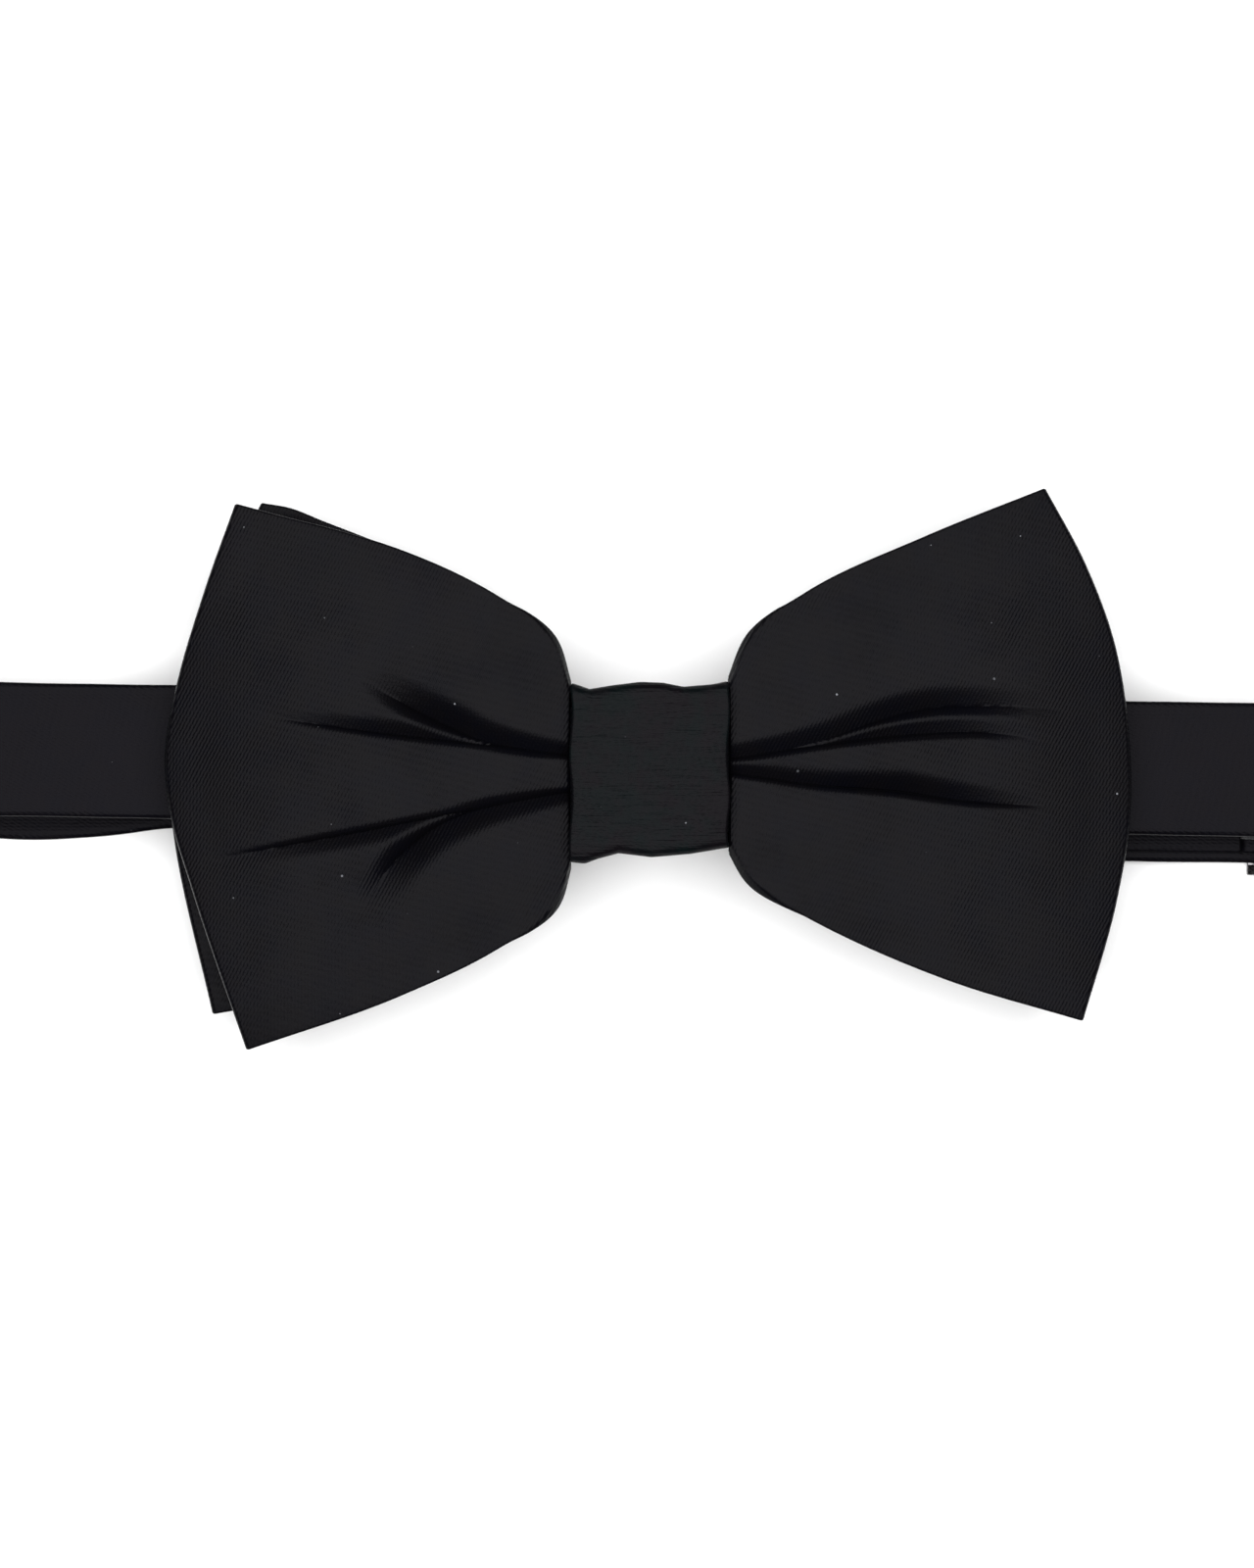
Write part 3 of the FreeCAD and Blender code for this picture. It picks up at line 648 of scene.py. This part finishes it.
def nearest_on(line, xy):
    """Of each plan point: signed distance above a line, share along it and the line's upward normal there."""
    best = np.full(xy.shape[:-1], np.inf)
    signed, share, upwards = np.zeros(best.shape), np.zeros(best.shape), np.zeros(xy.shape)
    for i, (a, b) in enumerate(zip(line[:-1], line[1:])):
        d = b - a
        normal = np.array([-d[1], d[0]]) / np.linalg.norm(d)
        normal *= np.sign(normal[1])
        t = np.clip(((xy - a) @ d) / (d @ d), 0, 1)
        off = xy - (a + t[..., None] * d)
        dist = np.linalg.norm(off, axis=-1)
        nearer = dist < best
        best = np.where(nearer, dist, best)
        signed = np.where(nearer, np.where(off @ normal >= 0, dist, -dist), signed)
        share = np.where(nearer, (i + t) / (len(line) - 1), share)
        upwards = np.where(nearer[..., None], normal, upwards)
    return signed, share, upwards


def crease_fields(creases, xy):
    """Depth of all creases at plan points, and how far each point slides over the trough beside it."""
    total = np.zeros(xy.shape[:-1])
    slide = np.zeros(xy.shape)
    for crease in creases:
        line = curve_through(crease["points"])(np.linspace(0, 1, CREASE_STEPS))
        signed, share, upwards = nearest_on(line, xy)
        side = signed * crease["side"]
        width = np.interp(share, (0, 0.5, 1), crease["widths"])
        wall = np.interp(share, (0, 0.5, 1), crease["walls"])
        depth = crease["steep"] * width * (1 - smooth(crease["fade"], 1.0, share))
        out = 1 - np.where(side >= 0, side / width, -side / wall)
        total = soft_max(total, depth * (np.sqrt(out**2 + TROUGH_ROUND) + out) / 2, TROUGH_JOIN)
        loose = 1 - LAP_LOSS * smooth(*LAP_LOSS_SPAN, share)
        beside = smooth(0.0, LAP_RISE, -side) * (1 - smooth(LAP_RISE, LAP_REACH, -side))
        lap = beside * crease["lap"] * depth * loose
        moved = crease["side"] * lap[..., None] * upwards
        further = np.linalg.norm(moved, axis=-1) > np.linalg.norm(slide, axis=-1)
        slide = np.where(further[..., None], moved, slide)
    return total, slide


def waves(xy, phase):
    """Slow unevenness of hand-pressed cloth, between about -1 and 1."""
    x, y = xy[..., 0], xy[..., 1]
    slow = np.sin(x * 0.13 + y * 0.05 + phase) * np.cos(y * 0.11 - x * 0.04 + 2 * phase)
    quick = np.sin(x * 0.31 - y * 0.17 + 3 * phase) * np.sin(y * 0.23 + x * 0.11 + phase)
    return 0.65 * slow + 0.35 * quick


def gathers(u, v, phase):
    """Small pleats at the knot that die away outwards, from 0 to 1."""
    bend = 0.5 + 0.5 * np.cos(v * math.pi * 2 * PLEATS + phase + 0.8 * np.sin(v * 9 + phase))
    return bend**2 * (1 - smooth(0.0, 0.45, u)) * np.exp(-2.2 * u)


def rim_columns(v, band, share):
    """Move the grid's outermost columns, up to band of its width, so that they span the given share."""
    inner = share + (v - band) / (1 - 2 * band) * (1 - 2 * share)
    return np.where(v < band, v / band * share, np.where(v > 1 - band, 1 - (1 - v) / band * share, inner))


def loop_shares(rows):
    """Shares along the folded loop: 0 at the knot, 1 at the outer fold and 2 back at the knot."""
    straight = np.linspace(0, 1 - FOLD_SHARE, rows)[:-1]
    fold = 1 - FOLD_SHARE * (1 - np.sin(np.linspace(0, 1, FOLD_ROWS) * math.pi / 2))
    out = np.concatenate([straight, fold])
    return np.concatenate([out, 2 - out[-2::-1]])


def wing_grid(plan, rows):
    """Of each point of the loop's grid: its shares out and up, whether it is on the front ply, and how wide
    the wing and its pressed-down rim are there."""
    v = even_ends(WING_COLUMNS)
    v = v + COLUMN_CROWDING * np.sin(2 * math.pi * v) / (2 * math.pi)
    along, vv = np.meshgrid(loop_shares(rows), v, indexing="ij")
    front = along <= 1
    u = np.where(front, along, 2 - along)
    low_edge, high_edge = (plan_point(plan, u, np.full(u.shape, end)) for end in (0.0, 1.0))
    across = np.linalg.norm(high_edge - low_edge, axis=-1)
    rim = SHOULDER_REACH * (1 - smooth(*SHOULDER_FADE, u))
    vv = rim_columns(vv, v[RIM_COLUMNS], np.maximum(rim, LEAST_RIM) / across)
    return u, vv, front, across, rim


def loop_heights(bow, xy, u):
    """Height half way between the two plies, and half the distance from ply to ply."""
    low = three_heights(bow["under"], xy[..., 0]) + PLY_HALF
    high = three_heights(bow["over"], xy[..., 0]) - PLY_HALF
    lowest, highest = min(bow["under"]), max(bow["over"]) + 0.2
    rim = lowest + (highest - lowest) * bow["rim"]
    roof = rim + (highest - rim) * (1 - np.abs(xy[..., 1] / HALF_SPAN) ** ROOF_POWER) - PLY_HALF
    high = np.maximum(soft_min(high, roof, ROOF_ROUND), low + 2 * PLY_HALF + PLY_AIR)
    turn = np.clip((u - (1 - FOLD_SHARE)) / FOLD_SHARE, 0, 1)
    return (high + low) / 2, (high - low) / 2 * np.sqrt(np.clip(1 - turn**4, 0, 1))


def wing_loop(bow, plan, creases, phase):
    """Middle points of the folded loop and their shares up. The grid runs out on the front ply, round the
    fold and back on the rear ply."""
    u, v, front, across, rim = wing_grid(plan, bow["rows"])
    xy = plan_point(plan, u, v)
    middle, half_gap = loop_heights(bow, xy, u)
    room = np.maximum(half_gap - PLY_HALF - 0.1, 0)
    calm = (1 - smooth(*CALM_FOLD, u)) * smooth(0.0, CALM_EDGE, v) * smooth(0.0, CALM_EDGE, 1 - v)
    if creases:
        dent, slide = crease_fields(creases, xy)
        xy = xy + slide * (calm * front)[..., None]
    else:
        dent = PLEAT_DEPTH * gathers(u, v, phase) + HIDDEN_WAVE * (1 + waves(xy, phase))
    under_dent = REAR_PLEAT_DEPTH * gathers(u, v, phase + 1) + UNDER_WAVE * (1 + waves(xy, phase + 2))
    rim_distance = np.minimum(v, 1 - v) * across
    shoulder = np.minimum(SHOULDER_SLOPE * np.clip(rim - rim_distance, 0, None), room)
    dent = dent + FRONT_WAVE * waves(xy, phase)
    upper = half_gap - np.minimum(dent, room * DEEPEST_FRONT) * calm - shoulder
    lower = half_gap - np.minimum(under_dent, room * DEEPEST_UNDER) * calm - UNDER_SHOULDER * shoulder
    z = middle + np.where(front, upper, -lower)
    return np.concatenate([xy, z[..., None]], -1), v


def wing_piece(row, side, bow, plan, creases, phase):
    """Folded satin loop standing for a wing of the frame. Returns its grid of middle points."""
    mid, v = wing_loop(bow, plan, creases, phase)
    steps = np.linalg.norm(np.diff(mid, axis=1), axis=-1)
    width = steps.sum(axis=1)[:, None]
    length = np.linalg.norm(np.diff(mid, axis=0), axis=-1)
    along = np.concatenate([np.zeros((1, mid.shape[1])), np.cumsum(length, axis=0)])
    half = PLY_HALF * edge_round(np.minimum(v, 1 - v) * width, PLY_HALF)
    half = half * edge_round(np.minimum(along, along[-1] - along), PLY_END_ROUND)
    obj = new_object(f"satin_{row}_{side}", *shell(mid, half), BOW_SATIN)
    obj.data.set_sharp_from_angle(angle=PRESSED_ANGLE)
    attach(obj, "bow")
    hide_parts(f"{row}_wing_{side}")
    return mid


wings = {}
for row, side, bow, plan, creases, phase in (
    ("front", "left", FRONT_BOW, FRONT_LEFT, LEFT_CREASES, 0.4),
    ("front", "right", FRONT_BOW, FRONT_RIGHT, RIGHT_CREASES, 1.3),
    ("rear", "left", REAR_BOW, REAR_LEFT, None, 2.1),
    ("rear", "right", REAR_BOW, REAR_RIGHT, None, 3.2),
):
    wings[row, side] = wing_piece(row, side, bow, plan, creases, phase)


# Strap --------------------------------------------------------------------------------------------


def turn_points(x, low_z, end_y, towards):
    """The strap's turn at one side: half a circle from the front run down to low_z, moving over to end_y."""
    angle = np.linspace(math.pi / 2, -math.pi / 2, 28)
    share = smooth(0, 1, np.linspace(0, 1, len(angle)))
    radius = (FRONT_Z - low_z) / 2
    xs = x + towards * radius * np.cos(angle)
    return np.stack([xs, end_y * share, low_z + radius * (1 + np.sin(angle))], -1)


def eye_points(x, y, z, radius, towards, count=16):
    """Half a circle in XZ from its bottom to its top, round a bar."""
    angle = np.linspace(-math.pi / 2, math.pi / 2, count)
    return [(x + towards * radius * math.cos(a), y, z + radius * math.sin(a)) for a in angle]


def ribbon(path, half):
    """Points and faces of a flat strap along a path, with folded edges and a seam along the middle."""
    v = even_ends(26, (0.0, 0.006, 0.018, 0.04))
    along = arc_lengths(path)[:, None]
    y = (v - 0.5) * STRAP_WIDTH
    wobble = STRAP_WAVER * (np.sin(along * 0.21) + 0.6 * np.sin(along * 0.47 + 1))
    mid = np.repeat(path[:, None, :], len(v), axis=1)
    mid[..., 1] += y + wobble * np.sign(y) * 0.5
    edge = np.minimum(v, 1 - v) * STRAP_WIDTH
    thick = edge_round(edge, half * 1.2) * edge_round(np.minimum(along, along[-1] - along), half)
    ridge = 0.82 + 0.18 * bell(edge, 0.9, 0.8) - 0.05 * bell(y, 0, 0.5)
    return shell(mid, half * thick * ridge)


def strap_object(name, path, half=STRAP_HALF_THICK):
    """Strap piece from a path in the strap's own frame."""
    verts, faces = ribbon(path, half)
    obj = new_object(name, place_on_strap(verts), faces, STRAP_SATIN)
    return obj


def on_strap_point(x):
    """A point of the strap's middle line, in metres."""
    return tuple(place_on_strap([x, 0.0, 0.0]) * MM)


def left_path():
    """Front of the loop from the knot to the left, round, back to the hook's bar, round it and sewn down."""
    points = [
        (SPLIT_X, 0, FRONT_Z),
        *turn_points(LEFT_TURN_X, LEFT_REAR_Z, LEFT_REAR_Y, -1),
        (HOOK_SEWN_X, LEFT_REAR_Y, LEFT_REAR_Z),
        *eye_points(HOOK_BAR_X + HOOK_LOOP_SLACK, LEFT_REAR_Y, BAR_Z, HOOK_LOOP_R, 1),
        (HOOK_BAR_X - BAR_R, LEFT_REAR_Y, BAR_Z + HOOK_LOOP_R),
        (HOOK_SEWN_X, LEFT_REAR_Y, LEFT_SEWN_Z),
        (HOOK_SEWN_X - SEWN_LAP, LEFT_REAR_Y, LEFT_SEWN_Z),
    ]
    path = evenly_spaced(points, PATH_STEP)
    sway = sum(far * bell(path[:, 0], where, wide) for far, where, wide in REAR_SWAYS)
    path[:, 1] += sway * (path[:, 2] < REAR_BELOW_Z)
    return path


def right_path():
    """Front of the loop from the knot to the right, round, and back to the ring's bar and round it."""
    points = [
        (SPLIT_X, 0, FRONT_Z),
        *turn_points(RIGHT_TURN_X, MAIN_Z, MAIN_Y, 1),
        (MAIN_DRAWN_X, MAIN_Y, MAIN_Z),
        (SPLIT_X, MAIN_DRAWN_Y, MAIN_Z),
        (RING_LOOP_X, MAIN_DRAWN_Y, MAIN_Z),
        *eye_points(RING_BAR_X, (MAIN_Y + RETURN_Y) / 2, BAR_Z, RING_LOOP_R, -1),
        (RING_LOOP_X, RETURN_Y, RETURN_Z),
    ]
    return evenly_spaced(points, PATH_STEP)


def return_path():
    """Inner layer from the ring's bar back to the slide, round its centre bar and sewn down."""
    points = [
        (RING_LOOP_X, RETURN_Y, RETURN_Z),
        (TAIL_X - SLIDE_RAMP, RETURN_Y, RETURN_Z),
        *eye_points(SLIDE_X, RETURN_Y, SLIDE_BAR_Z, SLIDE_LOOP_R, 1, count=14),
        (TAIL_X, RETURN_Y, TAIL_Z[0]),
        (TAIL_X - TAIL_LAP, RETURN_Y, TAIL_Z[1]),
    ]
    return evenly_spaced(points, PATH_STEP)


strap_left = strap_object("strap_left", left_path())
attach(strap_left, "bow")
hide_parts("front_strap", "left_fold", "left_rear_run", "hook_loop")

strap_right = strap_object("strap_right", right_path())
turn_start, turn_end = (on_strap_point(x) for x in TURN_BLEND)
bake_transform(strap_right)
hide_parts("front_strap_right", "right_fold", "adjustable_run", "ring_loop")

strap_return = strap_object("strap_return", return_path(), RETURN_HALF_THICK)
return_start, return_end = (on_strap_point(x) for x in RETURN_BLEND)
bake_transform(strap_return)
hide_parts("return_run", "tail_loop")


# Knot ---------------------------------------------------------------------------------------------


def inset(span, low, high):
    """A span drawn in at both ends."""
    return span[0] + low, span[1] - high


def knot_band():
    """Satin band wrapped round the middle, puckered a little at its corners, and its length in metres."""
    loop = rounded_loop(*(inset(span, BAND_INSET, BAND_INSET) for span in (KNOT_Y, KNOT_Z)), *BAND_RADII)
    v = even_ends(52)
    x = KNOT_X[0] + KNOT_WIDTH * v
    y, z = loop[:, 0][:, None], loop[:, 1][:, None]
    top = np.interp(x, *np.array(KNOT_TOP_EDGE).T) - KNOT_Y[1]
    low = np.interp(x, *np.array(KNOT_LOW_EDGE).T) - KNOT_Y[0]
    front = smooth(KNOT_Z[1] - 3.5, KNOT_Z[1] - 0.5, z)
    dome = -0.1 * ((x - KNOT_MIDDLE_X) / 9.7) ** 4 - 0.15 * (y / 10.6) ** 2
    pucker = 0.07 * np.sin(x * 1.15 + 0.9 * np.sin(y * 0.35)) * smooth(4, 10, np.abs(y))
    mid = np.zeros((len(loop), len(v), 3))
    mid[..., 0] = x + 0.18 * np.sin(y * 0.6 + z * 0.4) * smooth(0.2, 0.5, np.abs(v - 0.5))
    mid[..., 1] = y + smooth(2.0, 10.2, y) * top + smooth(2.0, 10.8, -y) * low
    mid[..., 2] = z + front * (dome + pucker - 0.05)
    half = np.tile(BAND_HALF * edge_round(np.minimum(v, 1 - v) * KNOT_WIDTH, BAND_EDGE_ROUND), (len(loop), 1))
    verts, faces = shell(mid[::-1], half, wrap=True)
    round_length = arc_lengths(np.concatenate([loop, loop[:1]]))[-1] * MM
    return new_object("knot_band", verts, faces, KNOT_SATIN), round_length


knot, knot_round = knot_band()
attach(knot, "bow")
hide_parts("knot_wrap")


def pad_piece():
    """Felt pad under the band, over the front and down both sides."""
    step = 0.35
    loop = rounded_loop(inset(KNOT_Y, 2.1, 1.6), (9.8, KNOT_Z[1] - 1.4), 1.0, 0.6, step)
    lowest_middle = int(np.argmin(loop[:, 1] + 0.001 * np.abs(loop[:, 0])))
    loop = np.roll(loop, -lowest_middle, axis=0)
    loop = loop[loop[:, 1] > PAD_LOWEST]
    v = even_ends(24)
    width = KNOT_WIDTH - 2 * PAD_MARGIN
    mid = np.zeros((len(loop), len(v), 3))
    mid[..., 0] = KNOT_X[0] + PAD_MARGIN + width * v
    mid[..., 1:] = loop[:, None, :]
    row = np.arange(len(loop))
    ends = np.minimum(row, row[::-1])[:, None] * step
    half = PAD_HALF * edge_round(np.minimum(v, 1 - v) * width, 0.6) * edge_round(ends, 0.6)
    return new_object("felt_pad", *shell(mid, half), FELT)


pad = pad_piece()
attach(pad, "bow")
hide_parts("knot_padding")


def waist_piece(name, node, z, phase):
    """Gathered middle of a bow: pleats above and below, drawn in where the thread goes round."""
    loop = rounded_loop(WAIST_Y, inset(z, 0.4, 0.4), 1.6, 1.6, step=0.3)
    xs = np.linspace(KNOT_X[0] - 0.05, KNOT_X[1] + 0.05, 30)
    centre_z = loop[:, 1].mean()
    ys, zs = loop[:, 0][:, None], loop[:, 1][:, None]
    pleat = (0.5 + 0.5 * np.cos(ys * 2.0 + phase)) * (np.abs(zs - centre_z) > (z[1] - z[0]) * 0.3)
    pull = 0.1 * pleat + 0.08 * bell(xs, KNOT_MIDDLE_X, 2.5)
    mid = np.zeros((len(loop), len(xs), 3))
    mid[..., 0] = xs
    mid[..., 1] = ys
    mid[..., 2] = zs + (centre_z - zs) * pull
    half = np.full(mid.shape[:2], WAIST_HALF)
    half[:, 0] = half[:, -1] = 0
    half[:, 1] = half[:, -2] = 0.2
    obj = new_object(name, *shell(mid[::-1], half, wrap=True), BOW_SATIN)
    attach(obj, "bow")
    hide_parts(node)


waist_piece("gathered_front", "front_waist", (16.5, 22.6), 0.5)
waist_piece("gathered_rear", "rear_waist", (11.4, 16.2), 1.7)


# Lining, flap, label and thread -------------------------------------------------------------------


def lining_piece(row, side):
    """Stiff interlining half way between the plies of a wing, about 4 mm inside its edges."""
    mid = wings[row, side]
    picked = np.arange(4, len(mid) // 2 - 8, 3)
    columns = np.arange(RIM_COLUMNS + 5, mid.shape[1] - RIM_COLUMNS - 5, 3)
    front = mid[picked][:, columns]
    rear = mid[::-1][picked][:, columns]
    sheet = (front + rear) / 2
    half = np.full(sheet.shape[:2], LINING_HALF)
    half[0] = half[-1] = 0
    half[:, 0] = half[:, -1] = 0
    obj = new_object(f"stiffener_{row}_{side}", *shell(sheet, half), INTERLINING)
    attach(obj, "bow")
    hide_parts(f"{row}_lining_{side}")


for side in ("left", "right"):
    for row in ("front", "rear"):
        lining_piece(row, side)


def flat_patch(x, y, z, half):
    """Small flat piece of cloth with rounded edges."""
    uu, vv = np.meshgrid(even_ends(30), even_ends(14), indexing="ij")
    px = x[0] + (x[1] - x[0]) * uu
    py = y[0] + (y[1] - y[0]) * vv
    mid = np.stack([px, py, z + 0.03 * np.sin(px * 1.3) * np.sin(py * 1.1)], -1)
    width = np.minimum(vv, 1 - vv) * (y[1] - y[0])
    length = np.minimum(uu, 1 - uu) * (x[1] - x[0])
    return shell(mid, half * edge_round(width, half * 1.5) * edge_round(length, half * 1.5))


flap = new_object("band_flap", *flat_patch(inset(KNOT_X, 0.6, 0.6), (-3, 3), 8.62, 0.2), KNOT_SATIN)
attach(flap, "bow")
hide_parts("knot_flap")

label_y = (LEFT_REAR_Y - LABEL_HALF_WIDTH, LEFT_REAR_Y + LABEL_HALF_WIDTH)
label_verts, label_faces = flat_patch(LABEL_X, label_y, 1.0, 0.15)
label = new_object("blank_label", place_on_strap(label_verts), label_faces, LABEL_RIBBON)
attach(label, "bow")
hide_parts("label")


def stitch(x, y, z, length=STITCH_LENGTH, radius=STITCH_R):
    """One thread stitch along X, arched so that its ends go into the cloth."""
    t = np.linspace(-0.5, 0.5, 7)
    path = np.stack([x + t * length, np.full(7, y), z + radius * (1.3 - 5.0 * t**2)], -1)
    return tube(path, radius)


def thread_object(name, parts, node, on_strap=True, body="bow"):
    """Thread piece made of several tubes, given in the strap's frame or the bow's."""
    verts, faces = merged(parts)
    obj = new_object(name, place_on_strap(verts) if on_strap else verts, faces, THREAD)
    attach(obj, body)
    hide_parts(node)


def across_strap(middle, reach=7.0):
    """Places of a row of stitches across the strap, out to reach from its middle."""
    places = [middle + TACK_PITCH * (i - (TACK_COUNT - 1) / 2) for i in range(TACK_COUNT)]
    return [y for y in places if abs(y - middle) < reach]


def winding():
    """Turns of thread round both gathered middles."""
    parts = []
    loop = rounded_loop(inset(WAIST_Y, -0.4, -0.4), (11.1, 22.95), 1.4, 1.2, step=0.5)
    for i in range(-2, 3):
        path = np.insert(loop, 0, KNOT_MIDDLE_X + i * WINDING_PITCH, axis=1)
        parts.append(tube(path, WINDING_R, closed=True))
    return parts


hook_tack_x = HOOK_SEWN_X - SEWN_LAP / 2
hook_rows = [stitch(hook_tack_x + dx, y, 1.68) for dx in (-2.2, 2.2) for y in across_strap(LEFT_REAR_Y)]
thread_object("tack_at_hook", hook_rows, "hook_tack")
tail_rows = [stitch(SLIDE_X - 1.9 - TAIL_LAP, y, 3.25) for y in across_strap(RETURN_Y)]
thread_object("tack_at_slide", tail_rows, "tail_tack", body="adjuster")
label_ys = across_strap(LEFT_REAR_Y, LABEL_HALF_WIDTH)
label_rows = [stitch(x, y, 1.15, 1.0, 0.1) for x in inset(LABEL_X, 1, 1) for y in label_ys]
thread_object("tack_at_label", label_rows, "label_stitches")
back_rows = [stitch(x, y, 10.85, radius=0.05) for x in (-4.7, 5.05) for y in (-5.6, 5.6)]
thread_object("tack_at_strap", back_rows, "strap_tack")
flap_rows = [stitch(KNOT_X[0] + KNOT_WIDTH / 7 * (i + 0.5), 3.3, 8.66, 1.7, 0.13) for i in range(7)]
thread_object("tack_at_flap", flap_rows, "knot_stitches", on_strap=False)
thread_object("gathering_winding", winding(), "gathering_thread", on_strap=False)


# Hardware keeps the frame's own shape -------------------------------------------------------------

for node_name in ("eye_ring", "hook", "slide_adjuster"):
    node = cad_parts[node_name]
    node.data.materials.clear()
    node.data.materials.append(METAL)
    weld = node.modifiers.new("weld", "WELD")
    weld.merge_threshold = 0.01 * MM
    bevel = node.modifiers.new("bevel", "BEVEL")
    bevel.width = 0.12 * MM
    bevel.segments = 2
    bevel.limit_method = "ANGLE"
    bevel.angle_limit = math.radians(40)
    bevel.harden_normals = True
    node.data.polygons.foreach_set("use_smooth", [True] * len(node.data.polygons))


# Stage, light and camera --------------------------------------------------------------------------


def paper_floor(half_size=3000, z=-0.02):
    """Large sheet of paper just under the tie."""
    corners = [(x * half_size, y * half_size, z) for x, y in ((-1, -1), (1, -1), (1, 1), (-1, 1))]
    return new_object("floor", corners, [(0, 1, 2, 3)], paper("paper_floor"))


def soft_light(name, location, side, power):
    """Square soft light aimed at the tie."""
    data = bpy.data.lights.new(name, "AREA")
    data.shape = "RECTANGLE"
    data.size = data.size_y = side
    data.energy = power
    obj = bpy.data.objects.new(name, data)
    obj.location = location
    obj.rotation_euler = (-Vector(location)).to_track_quat("-Z", "Y").to_euler()
    bpy.context.scene.collection.objects.link(obj)


def studio_world():
    """White surroundings, bright at the horizon and dim overhead."""
    world = bpy.data.worlds.new("studio")
    bpy.context.scene.world = world
    world.use_nodes = True
    tree = world.node_tree
    coords = tree.nodes.new("ShaderNodeTexCoord")
    split = tree.nodes.new("ShaderNodeSeparateXYZ")
    level = tree.nodes.new("ShaderNodeMapRange")
    level.interpolation_type = "SMOOTHSTEP"
    for key, value in (("From Min", 0.0), ("From Max", 0.3), ("To Min", 1.2), ("To Max", 0.06)):
        level.inputs[key].default_value = value
    tree.links.new(coords.outputs["Generated"], split.inputs[0])
    tree.links.new(split.outputs["Z"], level.inputs["Value"])
    tree.links.new(level.outputs[0], tree.nodes["Background"].inputs["Strength"])
    tree.nodes["Background"].inputs["Color"].default_value = (1.0, 1.0, 1.0, 1)


def overhead_camera():
    """Camera looking straight down on the bow's face."""
    data = bpy.data.cameras.new("camera")
    data.lens = LENS
    data.sensor_width = SENSOR
    data.clip_start, data.clip_end = 0.01, 10
    camera = bpy.data.objects.new("camera", data)
    camera.location = (*VIEW_CENTRE, VIEW_PLANE_Z + VIEW_HEIGHT * LENS / SENSOR)
    bpy.context.scene.collection.objects.link(camera)
    bpy.context.scene.camera = camera


paper_floor()
studio_world()
soft_light("overhead", (0.0, 0.05, 1.1), 1.2, 27.0)
overhead_camera()
bpy.context.scene.view_settings.view_transform = "Standard"
